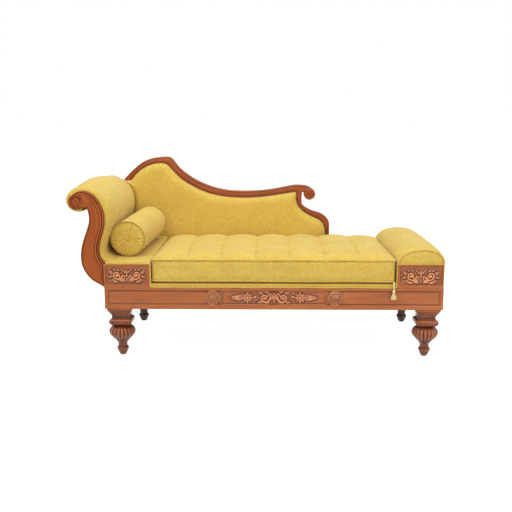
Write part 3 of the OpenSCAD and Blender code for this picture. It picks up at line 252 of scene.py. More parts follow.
def wood(name, dark, mid, light, grain="x", Roughness=0.36, Coat_Weight=0.22, Coat_Roughness=0.10, fine=1.0):
    """Figured, polished wood. The shade attribute of a mesh paints shade into its grooves and hollows, and
    below 0 paints highlights on its beads and ridges.
    """
    mat, nt, b = shader(name, Roughness=Roughness, Coat_Weight=Coat_Weight, Coat_Roughness=Coat_Roughness,
                        Specular_IOR_Level=0.3)
    at = add(nt, "TexCoord").outputs["Object"]
    stretch = [13.0 * fine] * 3
    stretch["xyz".index(grain)] = 1.5 * fine
    warp = add(nt, "TexNoise", {"Vector": at, "Scale": 5.0, "Detail": 2.0})
    bent = add(nt, "VectorMath", {0: warp.outputs["Color"], 1: (0.035, 0.035, 0.035)}, operation="MULTIPLY")
    moved = add(nt, "VectorMath", {0: at, 1: bent.outputs[0]}, operation="ADD")
    mapped = add(nt, "Mapping", {"Vector": moved.outputs[0], "Scale": stretch})
    figure = add(nt, "TexNoise", {"Vector": mapped.outputs[0], "Scale": 2.0, "Detail": 8.0, "Roughness": 0.6,
                                  "Distortion": 0.5})
    pore_map = add(nt, "Mapping", {"Vector": at, "Scale": [v * 9 if v > 10 else v * 5 for v in stretch]})
    pores = add(nt, "TexNoise", {"Vector": pore_map.outputs[0], "Scale": 2.0, "Detail": 3.0,
                                 "Roughness": 0.7})
    broad = add(nt, "TexNoise", {"Vector": at, "Scale": 3.3, "Detail": 2.0})
    colour = ramp(nt, figure.outputs["Fac"], [(0.24, dark), (0.50, mid), (0.78, light)])
    pore = ramp(nt, pores.outputs["Fac"], [(0.28, (0.70, 0.60, 0.54)), (0.42, (1, 1, 1))])
    colour = mix(nt, 0.45, colour, pore, "MULTIPLY")
    tone = ramp(nt, broad.outputs["Fac"], [(0.3, (0.86, 0.84, 0.82)), (0.7, (1.08, 1.08, 1.08))])
    colour = mix(nt, 1.0, colour, tone, "MULTIPLY")
    # Painted light: the shade attribute darkens grooves with painted shade and, below 0, lightens beads and
    # ridges with a painted highlight
    painted_light = add(nt, "Attribute", attribute_name="shade").outputs["Fac"]
    painted_highlight = add(nt, "Math", {0: painted_light, 1: -1.0}, operation="MULTIPLY", use_clamp=True)
    # Painted highlight: a paler copy of the light grain colour
    colour = mix(nt, painted_highlight.outputs[0], colour, tuple(min(1.55 * c, 1) for c in light))
    sunk = add(nt, "Math", {0: painted_light, 1: 1.0}, operation="MULTIPLY", use_clamp=True)
    # Painted shade: a near-black copy of the dark grain colour
    colour = mix(nt, sunk.outputs[0], colour, (0.20 * dark[0], 0.16 * dark[1], 0.10 * dark[2]))
    dull = add(nt, "MapRange", {"Value": sunk.outputs[0], "To Min": Roughness, "To Max": 0.8})
    nt.links.new(dull.outputs[0], b.inputs["Roughness"])
    nt.links.new(colour, b.inputs["Base Color"])
    bump = add(nt, "Bump", {"Strength": 0.10, "Distance": 0.0006, "Height": pores.outputs["Fac"]})
    nt.links.new(bump.outputs[0], b.inputs["Normal"])
    return mat


def weave(name, low, mid, high, Roughness=0.78, Sheen_Weight=0.25, nub=620.0, depth=0.0006):
    """Mottled cloth with slubs. The shade attribute of a mesh paints shade into its seams, folds and gaps."""
    mat, nt, b = shader(name, Roughness=Roughness, Sheen_Weight=Sheen_Weight, Sheen_Roughness=0.45,
                        Sheen_Tint=(1.0, 0.93, 0.74, 1), Specular_IOR_Level=0.25)
    at = add(nt, "TexCoord").outputs["Object"]
    mottle = add(nt, "TexNoise", {"Vector": at, "Scale": 95.0, "Detail": 5.0, "Roughness": 0.66})
    broad = add(nt, "TexNoise", {"Vector": at, "Scale": 9.0, "Detail": 3.0, "Roughness": 0.55})
    nubs = add(nt, "TexVoronoi", {"Vector": at, "Scale": nub})
    flecks = add(nt, "TexVoronoi", {"Vector": at, "Scale": 210.0, "Randomness": 1.0})
    colour = ramp(nt, mottle.outputs["Fac"], [(0.32, low), (0.50, mid), (0.66, high)])
    fleck = ramp(nt, flecks.outputs["Distance"],
                 [(0.10, (1.13, 1.12, 1.20)), (0.34, (1, 1, 1)), (0.75, (0.93, 0.90, 0.84))])
    colour = mix(nt, 0.5, colour, fleck, "MULTIPLY")
    slub_map = add(nt, "Mapping", {"Vector": at, "Scale": (70.0, 70.0, 340.0)})
    slubs = add(nt, "TexNoise", {"Vector": slub_map.outputs[0], "Scale": 1.0, "Detail": 3.0,
                                 "Roughness": 0.6})
    slub = ramp(nt, slubs.outputs["Fac"], [(0.30, (0.90, 0.87, 0.80)), (0.46, (1, 1, 1)), (0.62, (1, 1, 1)),
                                           (0.74, (1.08, 1.10, 1.2))])
    colour = mix(nt, 0.8, colour, slub, "MULTIPLY")
    tone = ramp(nt, broad.outputs["Fac"], [(0.32, (0.95, 0.94, 0.90)), (0.68, (1.04, 1.04, 1.06))])
    colour = mix(nt, 1.0, colour, tone, "MULTIPLY")
    # Painted shade: the shade attribute mixes in a darker copy of the low colour
    painted_light = add(nt, "Attribute", attribute_name="shade").outputs["Fac"]
    colour = mix(nt, painted_light, colour, tuple(c * k for c, k in zip(low, (0.42, 0.34, 0.25))))
    nt.links.new(colour, b.inputs["Base Color"])
    height = add(nt, "Math", {0: nubs.outputs["Distance"], 1: mottle.outputs["Fac"]}, operation="ADD")
    bump = add(nt, "Bump", {"Strength": 0.35, "Distance": depth, "Height": height.outputs[0]})
    nt.links.new(bump.outputs[0], b.inputs["Normal"])
    return mat


MAHOGANY = dict(dark=(0.31, 0.076, 0.017), mid=(0.42, 0.118, 0.027), light=(0.495, 0.156, 0.045))
wood_x = wood("mahogany_along_x", **MAHOGANY)
wood_crest = wood("mahogany_crest", (0.22, 0.042, 0.007), (0.34, 0.074, 0.011), (0.45, 0.115, 0.022))
wood_scroll = wood("mahogany_scroll", (0.25, 0.043, 0.003), (0.37, 0.074, 0.004), (0.47, 0.115, 0.010),
                   grain="z", Coat_Weight=0.08)
# The carving's mahogany: its pale light colour also gives the painted highlights on its ridges
wood_carved = wood("mahogany_carved", (0.20, 0.048, 0.014), (0.34, 0.088, 0.024), (0.58, 0.24, 0.10),
                   Roughness=0.24, Coat_Weight=0.5)
# Painted shade: a near-black copy of the mahogany for the rear legs, for the shade they stand in
wood_rear_shaded = wood("mahogany_aged", (0.030, 0.010, 0.006), (0.055, 0.018, 0.010), (0.09, 0.030, 0.016),
                 grain="z")
wood_y = wood("mahogany_along_y", grain="y", **MAHOGANY)
wood_leg = wood("mahogany_turned", (0.12, 0.026, 0.006), (0.21, 0.050, 0.011), (0.33, 0.094, 0.026),
                grain="z", Roughness=0.28, Coat_Weight=0.3)
timber = wood("frame_timber", (0.40, 0.26, 0.13), (0.56, 0.39, 0.21), (0.68, 0.50, 0.29), Roughness=0.62,
              Coat_Weight=0.0)
gold = weave("golden_weave", (0.615, 0.405, 0.062), (0.66, 0.455, 0.088), (0.71, 0.525, 0.125))
cream = weave("silk_thread", (0.72, 0.56, 0.24), (0.85, 0.70, 0.36), (0.93, 0.82, 0.50), Roughness=0.5,
              Sheen_Weight=0.5, nub=1500.0, depth=0.0002)
hessian = weave("jute_webbing", (0.24, 0.17, 0.09), (0.36, 0.27, 0.15), (0.46, 0.36, 0.22), Sheen_Weight=0.1,
                nub=420.0)
black_cloth = weave("dust_cloth", (0.012, 0.012, 0.013), (0.02, 0.02, 0.02), (0.035, 0.034, 0.033),
                    Sheen_Weight=0.05, nub=900.0)
wadding = weave("wadding", (0.50, 0.44, 0.32), (0.62, 0.56, 0.42), (0.72, 0.66, 0.52), Sheen_Weight=0.2,
                nub=300.0)


def bare_steel():
    mat, nt, b = shader("plain_steel", Metallic=1.0, Roughness=0.38)
    at = add(nt, "TexCoord").outputs["Object"]
    n = add(nt, "TexNoise", {"Vector": at, "Scale": 260.0, "Detail": 3.0})
    colour = ramp(nt, n.outputs["Fac"], [(0.35, (0.42, 0.42, 0.43)), (0.65, (0.60, 0.60, 0.61))])
    nt.links.new(colour, b.inputs["Base Color"])
    return mat


steel = bare_steel()

# Pieces


def piece(name, verts, faces, mat, body="couch", stands_for=(), sharp=38, slot=None, fill=None, shade=None,
          closed=True):
    me = bpy.data.meshes.new(name)
    me.from_pydata(row(verts).tolist(), [], [tuple(int(i) for i in f) for f in faces])
    if closed:
        bm = bmesh.new()
        bm.from_mesh(me)
        bmesh.ops.recalc_face_normals(bm, faces=bm.faces)
        bm.to_mesh(me)
        bm.free()
    me.polygons.foreach_set("use_smooth", [True] * len(me.polygons))
    if sharp:
        me.set_sharp_from_angle(angle=radians(sharp))
    # The shade attribute carries painted shade, and below 0 painted highlights
    if shade is not None:
        layer = me.attributes.new("shade", "FLOAT", "POINT")
        layer.data.foreach_set("value", np.clip(np.asarray(shade, float), -1, 1))
    me.materials.append(mat)
    me.update()
    ob = bpy.data.objects.new(name, me)
    scene.collection.objects.link(ob)
    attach(ob, body)
    if stands_for:
        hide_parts(*stands_for)
    slot or ("golden_weave" if mat == gold else "mahogany")
    return ob


class Mesh:
    """Collects vertices and faces of one piece."""

    def __init__(self):
        self.v, self.f, self.s = [], [], []
        self.n = 0

    def add(self, verts, faces, shade=0.0):
        verts = np.asarray(verts, float).reshape(-1, 3)
        self.v.append(verts)
        self.f += [tuple(int(i) + self.n for i in f) for f in faces]
        self.s.append(np.broadcast_to(np.asarray(shade, float), (len(verts),)).copy())
        self.n += len(verts)
        return self

    def loft(self, rings, closed=False, caps=True, shade=0.0):
        rings = [np.asarray(r, float) for r in rings]
        m, n = len(rings), len(rings[0])
        faces = []
        for i in range(m if closed else m - 1):
            for j in range(n):
                a, b = i * n + j, i * n + (j + 1) % n
                c, d = ((i + 1) % m) * n + (j + 1) % n, ((i + 1) % m) * n + j
                faces.append((a, b, c, d))
        if caps and not closed:
            faces.append(tuple(reversed(range(n))))
            faces.append(tuple((m - 1) * n + k for k in range(n)))
        return self.add(np.vstack(rings), faces, np.asarray(shade).ravel() if np.ndim(shade) else shade)

    def grid(self, p, shade=0.0, wrap=False):
        """p is rows by columns of points."""
        p = np.asarray(p, float)
        m, n = p.shape[:2]
        faces = [(i * n + j, i * n + (j + 1) % n, (i + 1) * n + (j + 1) % n, (i + 1) * n + j)
                 for i in range(m - 1) for j in range(n if wrap else n - 1)]
        return self.add(p.reshape(-1, 3), faces, np.asarray(shade).ravel() if np.ndim(shade) else shade)

    def tube(self, path, r, sides=10, closed=False, shade=0.0):
        p = np.asarray(path, float)
        t = np.roll(p, -1, 0) - np.roll(p, 1, 0) if closed else np.gradient(p, axis=0)
        t /= np.linalg.norm(t, axis=1, keepdims=True)
        up = np.array([0, 0, 1.0]) if abs(t[0, 2]) < 0.8 else np.array([0, 1.0, 0])
        a = np.linspace(0, 2 * pi, sides, endpoint=False)
        r = np.broadcast_to(np.asarray(r, float), (len(p),))
        rings, side = [], np.cross(t[0], up)
        for i in range(len(p)):
            side = side - t[i] * (side @ t[i])
            side /= np.linalg.norm(side)
            top = np.cross(side, t[i])
            rings.append(p[i] + r[i] * (np.outer(np.cos(a), side) + np.outer(np.sin(a), top)))
        return self.loft(rings, closed=closed, shade=shade)

    def make(self, name, mat, **facts):
        return piece(name, np.vstack(self.v), self.f, mat, shade=np.concatenate(self.s), **facts)


def softened(node, mat, width=1.2):
    """A CAD node drawn again with its edges eased."""
    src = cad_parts[node].data
    bm = bmesh.new()
    bm.from_mesh(src)
    bmesh.ops.remove_doubles(bm, verts=bm.verts, dist=1e-6)
    bmesh.ops.dissolve_limit(bm, angle_limit=radians(0.6), verts=bm.verts, edges=bm.edges)
    edges = [e for e in bm.edges if len(e.link_faces) == 2 and e.calc_face_angle(0) > radians(32)]
    bmesh.ops.bevel(bm, geom=edges, offset=width / 1000, offset_type="OFFSET", segments=2, profile=0.6,
                    affect="EDGES", clamp_overlap=True)
    me = bpy.data.meshes.new(node + "_finish")
    bm.to_mesh(me)
    bm.free()
    me.polygons.foreach_set("use_smooth", [True] * len(me.polygons))
    me.set_sharp_from_angle(angle=radians(38))
    me.materials.append(mat)
    ob = bpy.data.objects.new(node + "_finish", me)
    scene.collection.objects.link(ob)
    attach(ob, "couch")
    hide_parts(node)
    return ob


# Camera, floor and light

# The view fitted to the photograph: place in workshop millimetres, pitch and turn in radians,
# focal length and sensor in millimetres
VIEW_FROM = (793.41, -3397.17, 1154.06)
VIEW_DOWN, VIEW_TURN = 0.18660, 0.01626
LENS, SENSOR = 50.625, 36

cam = bpy.data.objects.new("camera", bpy.data.cameras.new("camera"))
cam.data.lens = LENS
cam.data.sensor_width = SENSOR
cam.location = row(VIEW_FROM)[0]
cam.rotation_euler = (pi / 2 - VIEW_DOWN, 0, VIEW_TURN)
cam.data.clip_end = 60
scene.collection.objects.link(cam)
scene.camera = cam


def looked_at(nt):
    """1 for rays of the camera, of shine and of glass, 0 for those that light the couch."""
    path = add(nt, "LightPath")
    seen = add(nt, "Math", {0: path.outputs["Is Camera Ray"], 1: path.outputs["Is Glossy Ray"]},
               operation="MAXIMUM")
    seen = add(nt, "Math", {0: seen.outputs[0], 1: path.outputs["Is Transmission Ray"]},
               operation="MAXIMUM")
    return seen.outputs[0]


def backdrop():
    mat = bpy.data.materials.new("pale_floor")
    mat.use_nodes = True
    nt = mat.node_tree
    nt.nodes.clear()
    seen = looked_at(nt)
    plain = add(nt, "BsdfDiffuse", {"Color": (0.70, 0.69, 0.67, 1)})
    shown = add(nt, "BsdfDiffuse", {"Color": (0.36, 0.36, 0.36, 1)})
    glow = add(nt, "Emission", {"Color": (1, 1, 1, 1), "Strength": 0.93})
    both = add(nt, "AddShader", {0: shown.outputs[0], 1: glow.outputs[0]})
    choice = add(nt, "MixShader", {0: seen, 1: plain.outputs[0], 2: both.outputs[0]})
    add(nt, "OutputMaterial", {"Surface": choice.outputs[0]})
    me = bpy.data.meshes.new("floor")
    half = 40
    corners = [(-half, -half, 0), (half, -half, 0), (half, half, 0), (-half, half, 0)]
    me.from_pydata(corners, [], [(0, 1, 2, 3)])
    me.materials.append(mat)
    floor = bpy.data.objects.new("floor", me)
    scene.collection.objects.link(floor)


def studio():
    world = bpy.data.worlds.new("studio")
    scene.world = world
    world.use_nodes = True
    nt = world.node_tree
    nt.nodes.clear()
    seen = looked_at(nt)
    light = add(nt, "Background", {"Color": (1, 0.99, 0.97, 1), "Strength": 0.60})
    view = add(nt, "Background", {"Color": (1, 1, 1, 1), "Strength": 1.0})
    choice = add(nt, "MixShader", {0: seen, 1: light.outputs[0], 2: view.outputs[0]})
    add(nt, "OutputWorld", {"Surface": choice.outputs[0]})


backdrop()
studio()


def lamp(name, at, aim, size, power, colour):
    data = bpy.data.lights.new(name, "AREA")
    data.shape = "RECTANGLE"
    data.size, data.size_y = size
    data.energy = power
    data.color = colour
    ob = bpy.data.objects.new(name, data)
    ob.location = at
    ob.rotation_euler = (Vector(aim) - Vector(at)).to_track_quat("-Z", "Y").to_euler()
    scene.collection.objects.link(ob)


WARM, COOL = (1, 0.985, 0.955), (0.86, 1, 0.95)
lamp("key", (-1.3, -2.5, 3.6), (0, 0, 0.4), (3.4, 2.4), 71, WARM)
lamp("fill", (2.4, -3.0, 1.7), (0.2, 0, 0.4), (2.6, 2.4), 37, WARM)
lamp("top", (0.1, 0.3, 3.4), (0, 0, 0.4), (3.6, 2.2), 44, COOL)
scene.view_settings.view_transform = "Standard"

# Shared outlines

scroll_inner_shares = [
    [0.970, 0.249, 0.30], [0.886, 0.294, 0.30], [0.832, 0.345, 0.32], [0.820, 0.411, 0.36],
    [0.862, 0.483, 0.42], [0.922, 0.553, 0.52], [0.982, 0.626, 0.68], [1, 0.689, 0.85], [0.994, 0.760, 1],
    [0.952, 0.823, 1.08], [0.862, 0.891, 1.05], [0.737, 0.947, 1], [0.581, 0.985, 1.1], [0.413, 1, 1.2],
    [0.251, 0.989, 1.25]]
scroll_outer_shares = [
    [0.431, 0.843], [0.497, 0.828], [0.545, 0.796], [0.569, 0.738], [0.563, 0.679], [0.479, 0.583],
    [0.395, 0.504], [0.317, 0.409], [0.293, 0.323], [0.311, 0.243], [0.401, 0.162], [0.587, 0.081],
    [0.772, 0.040], [0.940, 0.005]]
crest_upper_shares = [
    [-0.024, 0.772], [-0.013, 0.798], [0.004, 0.832], [0.032, 0.883], [0.068, 0.937], [0.104, 0.970],
    [0.139, 0.986], [0.175, 0.993], [0.199, 0.993], [0.212, 0.987], [0.224, 0.965], [0.236, 0.936],
    [0.253, 0.896], [0.281, 0.848], [0.316, 0.801], [0.358, 0.757], [0.413, 0.715], [0.469, 0.688],
    [0.526, 0.675], [0.597, 0.673], [0.668, 0.680], [0.724, 0.695], [0.774, 0.713], [0.809, 0.726],
    [0.837, 0.731], [0.873, 0.727], [0.898, 0.713]]
crest_lower_shares = [
    [0.015, 0.772], [0.027, 0.798], [0.045, 0.836], [0.067, 0.872], [0.096, 0.904], [0.128, 0.925],
    [0.160, 0.933], [0.184, 0.930], [0.202, 0.909], [0.229, 0.852], [0.264, 0.788], [0.299, 0.742],
    [0.341, 0.699], [0.384, 0.662], [0.440, 0.633], [0.497, 0.617], [0.561, 0.610], [0.632, 0.614],
    [0.703, 0.628], [0.760, 0.645], [0.809, 0.659], [0.838, 0.664], [0.872, 0.660]]
return_inner_shares = [
    [0.835, 0.690], [0.833, 0.640], [0.833, 0.586], [0.842, 0.536], [0.866, 0.484], [0.904, 0.439],
    [0.942, 0.404], [0.966, 0.365], [0.976, 0.309], [0.978, 0.240], [0.978, 0]]
return_outer_shares = [
    [0.864, 0.690], [0.861, 0.637], [0.861, 0.570], [0.870, 0.532], [0.908, 0.491], [0.953, 0.463],
    [0.983, 0.426], [0.997, 0.383], [1, 0.330], [1, 0.240], [1, 0]]

volute = np.array([-REACH + VOLUTE_R, RAIL_TOP + SCROLL_H * 0.889])
crest_volute = np.array([BACK_L * 0.899, RAIL_TOP + BACK_H * 0.645])


def volute_turn(a1, n):
    """The scroll's inner edge led round the volute to a1 degrees, with its fullness."""
    t = np.linspace(0, 1, n + 1)
    a = np.radians(132 + (a1 - 132) * t)
    return np.column_stack([volute[0] + VOLUTE_R * np.cos(a), volute[1] + VOLUTE_R * np.sin(a),
                            1.25 - 0.9 * np.minimum(t * 1.4, 1)])


scroll_inner = smooth(placed(scroll_inner_shares, -REACH, RAIL_TOP, SCROLL_W, SCROLL_H), 6)
scroll_outer = smooth(placed(scroll_outer_shares, -REACH, RAIL_TOP, SCROLL_W, SCROLL_H), 6)
crest_upper, crest_lower, return_inner, return_outer = (
    smooth(placed(s, 0, RAIL_TOP, BACK_L, BACK_H), 6)
    for s in (crest_upper_shares, crest_lower_shares, return_inner_shares, return_outer_shares))

# Moulded wood


def moulded_band(mesh, a, b, y0, thick, at_a, at_b, flip=1, stations=220):
    """A board between the edges a and b, with a moulding run along each.

    at_a and at_b list (distance from the edge, depth below the front, darkness, which is painted shade, and
    below 0 a painted highlight).
    """
    a = resample(a, stations)
    s = []
    last = 0
    for p in a:  # the nearest point of the other edge, never going back
        d = np.hypot(b[:, 0] - p[0], b[:, 1] - p[1])
        d[:last] = 1e9
        last = int(np.argmin(d))
        s.append(last)
    s = np.convolve(np.pad(np.array(s, float), 9, mode="edge"), np.hanning(19) / np.hanning(19).sum(),
                    "valid")
    s[0], s[-1] = 0, len(b) - 1
    k = np.arange(len(b))
    both = lengths(a) + np.interp(s, k, lengths(b))
    at = np.interp(np.linspace(0, both[-1], stations), both, np.arange(len(a)))
    a = np.column_stack([np.interp(at, np.arange(len(a)), a[:, i]) for i in (0, 1)])
    s = np.interp(at, np.arange(len(s)), s)
    q = np.column_stack([np.interp(s, k, b[:, 0]), np.interp(s, k, b[:, 1])])
    rings, shades = [], []
    for p, r in zip(a, q):
        w = max(hypot(*(r - p)), 0.5)
        ring = [(p[0], y0 + flip * thick, p[1])]
        # Painted shade on the board's edges behind its face
        dark = [0.35]
        for d, depth, sh in at_a:
            t = d * min(1 / w, 0.58 / at_a[-1][0])
            ring.append((p[0] + (r[0] - p[0]) * t, y0 + flip * depth, p[1] + (r[1] - p[1]) * t))
            dark.append(sh)
        for d, depth, sh in reversed(at_b):
            t = 1 - d * min(1 / w, 0.38 / at_b[-1][0])
            ring.append((p[0] + (r[0] - p[0]) * t, y0 + flip * depth, p[1] + (r[1] - p[1]) * t))
            dark.append(sh)
        ring.append((r[0], y0 + flip * thick, r[1]))
        dark.append(0.35)
        rings.append(ring)
        shades += dark
    mesh.loft(rings, shade=np.array(shades))


def volute_disc(mesh, c, r, y0, thick, turns=2.1, start=150, hand=1, flip=1, rise=3.2, lobes=0):
    """A rolled eye: a ridge that winds in to a boss, on a disc."""
    n_a, n_r = 96, 40
    rad = np.concatenate([[0.02], np.linspace(0.04, 1, n_r)])
    ang = np.linspace(0, 2 * pi, n_a, endpoint=False)
    R, A = np.meshgrid(rad, ang, indexing="ij")
    inner = 0.17
    k = np.log(1 / inner) / turns
    phase = (np.log(np.maximum(R, 1e-3)) / k + hand * (A - radians(start)) / (2 * pi)) % 1.0
    ridge = np.sqrt(np.clip(1 - ((phase - 0.46) / 0.46) ** 2, 0, 1))
    body = np.where(R < inner * 1.25, np.sqrt(np.clip(1 - (R / (inner * 1.25)) ** 2, 0, 1)) * 1.25, ridge)
    if lobes:
        body = body * (1 - 0.20 * (R > inner) * (0.5 + 0.5 * np.cos(lobes * A + 9 * R)))
    edge = np.clip((1 - R) / 0.05, 0, 1) ** 0.5
    depth = 3.6 - rise * body * (0.35 + 0.65 * edge)
    front = np.stack([c[0] + r * R * np.cos(A), y0 + flip * depth, c[1] + r * R * np.sin(A)], axis=-1)
    # Painted shade between the winds of the ridge, and on the disc's back edge
    dark = np.clip(0.8 - 1.35 * body, 0, 0.8)
    back = np.stack([c[0] + r * np.cos(ang), np.full(n_a, y0 + flip * thick), c[1] + r * np.sin(ang)],
                    axis=-1)
    p = np.concatenate([front, back[None]])
    sh = np.concatenate([dark, np.full((1, n_a), 0.3)])
    base = mesh.n
    mesh.grid(p, shade=sh, wrap=True)
    mesh.f.append(tuple(base + j for j in range(n_a)))
    mesh.f.append(tuple(base + len(p) * n_a - n_a + j for j in reversed(range(n_a))))


# Third column: painted shade in the coves, and below 0 a painted highlight on the beads
inner_mould = [
    (0, 7, 0.6), (0.5, 4.6, 0.6), (2, 3.0, 0.3), (4.5, 2.3, 0.2), (7.5, 2.6, 0.4), (9.8, 3.8, 0.75),
    (11, 5.0, 0.95), (12.2, 4.4, 0.9), (13.2, 2.0, 0.1), (14.8, 0.6, -0.35), (16.6, 0.3, -0.6),
    (18.4, 0.9, -0.2), (19.8, 3.0, 0.3), (20.8, 4.9, 0.95), (22, 4.2, 0.8), (24, 3.2, 0.05), (27, 2.8, 0)]
outer_mould = [
    (0, 7, 0.3), (0.5, 4.6, 0.3), (1.6, 2.9, 0.2), (3.4, 2.1, 0.05), (5.2, 2.5, 0.2), (6.2, 4.2, 0.9),
    (7.2, 4.9, 0.95), (8.4, 3.9, 0.5), (11, 3.1, 0), (15, 2.8, 0)]


def scroll_facing(name, y0, flip, node):
    m = Mesh()
    post = np.column_stack([np.zeros(24), np.linspace(RAIL_TOP, PLINTH_TOP, 24)])
    inner = np.vstack([post, scroll_inner[:, :2], volute_turn(318, 20)[1:, :2]])
    a = np.linspace(-24, 318, 60)
    r = np.interp(a, [-24, 20, 70, 130, 318], [35, 25.5, 21, 19.5, 18])
    wound = np.column_stack([volute[0] + r * np.cos(np.radians(a)), volute[1] + r * np.sin(np.radians(a))])
    outer = np.vstack([[[0, RAIL_TOP]], scroll_outer[::-1], wound])
    moulded_band(m, inner, outer, y0, FACING_T, inner_mould, outer_mould, flip, 420)
    volute_disc(m, volute, 19.5, y0 - flip * 1.5, FACING_T, turns=1.3, start=35, hand=-1, flip=flip, lobes=7)
    volute_disc(m, volute + np.array([26, -6]), 22.0, y0 + flip * 2.5, FACING_T - 5, turns=0.8, start=160,
                hand=-1, flip=flip, lobes=6)
    return m.make(name, wood_scroll, stands_for=[node], sharp=50)


scroll_facing("head_scroll_front", 0.0, 1, "front_scroll_facing")
scroll_facing("head_scroll_rear", SEAT_D, -1, "rear_scroll_facing")

# Third column: painted shade in the coves, and below 0 a painted highlight on the beads
crest_mould = [
    (0, 6, 0.5), (0.4, 3.2, 0.4), (1.6, 1.5, 0.1), (3.2, 0.9, -0.7), (5.0, 1.3, -0.3), (6.2, 3.0, 0.5),
    (7.2, 4.0, 0.8), (8.4, 3.0, 0.4), (10, 1.9, 0), (13, 1.6, 0)]
crest_inner_mould = [
    (0, 6, 0.35), (0.4, 4.0, 0.35), (1.6, 2.6, 0.3), (3, 2.0, 0.2), (4.6, 2.4, 0.3), (5.6, 3.6, 0.7),
    (6.6, 3.9, 0.7), (8, 2.6, 0.2), (11, 1.8, 0)]


def half_back_frame():
    m = Mesh()
    upper = np.vstack([crest_upper, arc(crest_volute, CREST_R, 78, 20, 6)[1:]])
    moulded_band(m, upper, crest_lower, BACK_Y, CREST_T, crest_mould, crest_inner_mould, 1, 320)
    volute_disc(m, crest_volute, CREST_R, BACK_Y - 1.2, CREST_T, turns=2.0, start=95, hand=1, rise=3.8)
    m.make("crest_moulded", wood_crest, stands_for=["crest_rail"], sharp=50)
    m = Mesh()
    keep_i = return_inner[return_inner[:, 1] > RAIL_TOP - 1]
    keep_o = return_outer[return_outer[:, 1] > RAIL_TOP - 1]
    moulded_band(m, keep_o, keep_i, BACK_Y + 0.4, CREST_T - 0.8, crest_mould, crest_inner_mould, 1, 160)
    m.make("return_moulded", wood_crest, stands_for=["return_stile"], sharp=50)


half_back_frame()

# Panelled rails and plinth boards

rail_mould = [(0, 0), (1.0, 0.5), (2.0, 1.6), (2.6, 3.6), (3.4, 4.4), (5.2, 4.9), (6.4, 6.0), (7.0, 7.0)]
field_mould = [(0, 0), (0.8, 0.4), (1.5, 1.5), (2.0, 3.0), (3.2, 3.6), (4.2, 4.4), (4.8, 5.0)]


def framed_board(name, place, a0, a1, z0, z1, thick, margins, mould, mat, node, round_by=1.4, lines=0.9,
                 sides=(0.35, 0.35, 0.8, 1)):
    """A board with a sunk, moulded panel. place turns (along, depth, height) into workshop points.

    sides: how much painted shade the mouldings get at the left, right, foot and top, as shares.
    """
    left, right, low, top = margins
    rings, shades = [], []

    def rect(da, dz, depth, dark):
        l, r, b, t = a0 + da[0], a1 - da[1], z0 + dz[0], z1 - dz[1]
        e, f = min(10, (r - l) / 4), min(6, (t - b) / 4)
        at_left, at_right, at_foot, at_top = sides
        for x, z, k in (
                (l, b, 0.4), (l + e, b, at_foot), (r - e, b, at_foot),
                (r, b, 0.4), (r, b + f, at_right), (r, t - f, at_right),
                (r, t, 0.4), (r - e, t, at_top), (l + e, t, at_top),
                (l, t, 0.4), (l, t - f, at_left), (l, b + f, at_left)):
            rings.append(place(x, depth, z))
            shades.append(dark * k)

    # Painted shade on the board's back edge and the first steps of its rounding
    rect((0, 0), (0, 0), thick, 0.4)
    for k in range(5):
        a = k / 4 * pi / 2
        inset = round_by * (1 - cos(a))
        rect((inset, inset), (inset, inset), round_by * (1 - sin(a)), 0.25 if k < 2 else 0.0)
    for d, depth in mould:
        e = depth / mould[-1][1]
        # Painted shade along the lines of the moulding
        dark = lines if 0.35 < e < 0.95 else 0.0
        rect((left + d, right + d), (low + d, top + d), depth, dark)
    m = Mesh().loft(np.array(rings).reshape(-1, 12, 3), shade=np.array(shades))
    return m.make(name, mat, stands_for=[node], sharp=30)


def on_front(a, d, z):
    return (a, d, z)


def on_rear(a, d, z):
    return (SEAT_L - a, SEAT_D - d, z)


def on_head(a, d, z):
    return (d, RAIL_T + a, z)


def on_foot(a, d, z):
    return (SEAT_L - d, RAIL_T + a, z)


side_l = SEAT_D - 2 * RAIL_T
for end, place, length, margin, mat in (
        ("front", on_front, SEAT_L, 14, wood_x), ("rear", on_rear, SEAT_L, 14, wood_x),
        ("head", on_head, side_l, 10, wood_y), ("foot", on_foot, side_l, 10, wood_y)):
    framed_board(end + "_rail_moulded", place, 0, length, LEG_H, RAIL_TOP, RAIL_T,
                 (margin, margin, RAIL_BASE, RAIL_LIP), rail_mould, mat, end + "_seat_rail")
for end, x0, x1, sides in (("head", 0, PLINTH_L - 0.3, (1, 0.5, 0.7, 0.25)),
                           ("foot", FOOT_X + 0.3, SEAT_L - 3, (0.8, 0.8, 0.7, 0.6))):
    framed_board(end + "_plinth_panel", on_front, x0, x1, RAIL_TOP, PLINTH_TOP, PLINTH_BOARD_T,
                 (8, 6, 17, 6), field_mould, wood_x, end + "_plinth_front", sides=sides)
for end in ("head", "foot"):
    softened(end + "_plinth_rear", wood_x)

# Legs

leg_axes = {"front_head": (LEG_X, LEG_Y), "front_foot": (SEAT_L - LEG_X, LEG_Y),
            "rear_head": (LEG_X, SEAT_D - LEG_Y), "rear_foot": (SEAT_L - LEG_X, SEAT_D - LEG_Y)}
# Half width and height of the square parts, top to bottom
square_profile = [
    (60, 247), (60, 237.5), (59.2, 236.5), (57.5, 235.5), (54.5, 230), (50.5, 223.5), (46.5, 217.5),
    (43.5, 212), (42.2, 208), (42.2, 206.6), (41.6, 205.6), (41.6, 193.5), (42.2, 192.2), (44.5, 191.4),
    (49, 190.0), (52.6, 187.3), (54.8, 182.6), (55.5, 177.5), (55, 172.0), (53, 168.0), (49.8, 164.4),
    (46.5, 161.2), (43.5, 158.6), (40, 155.2), (34, 154)]
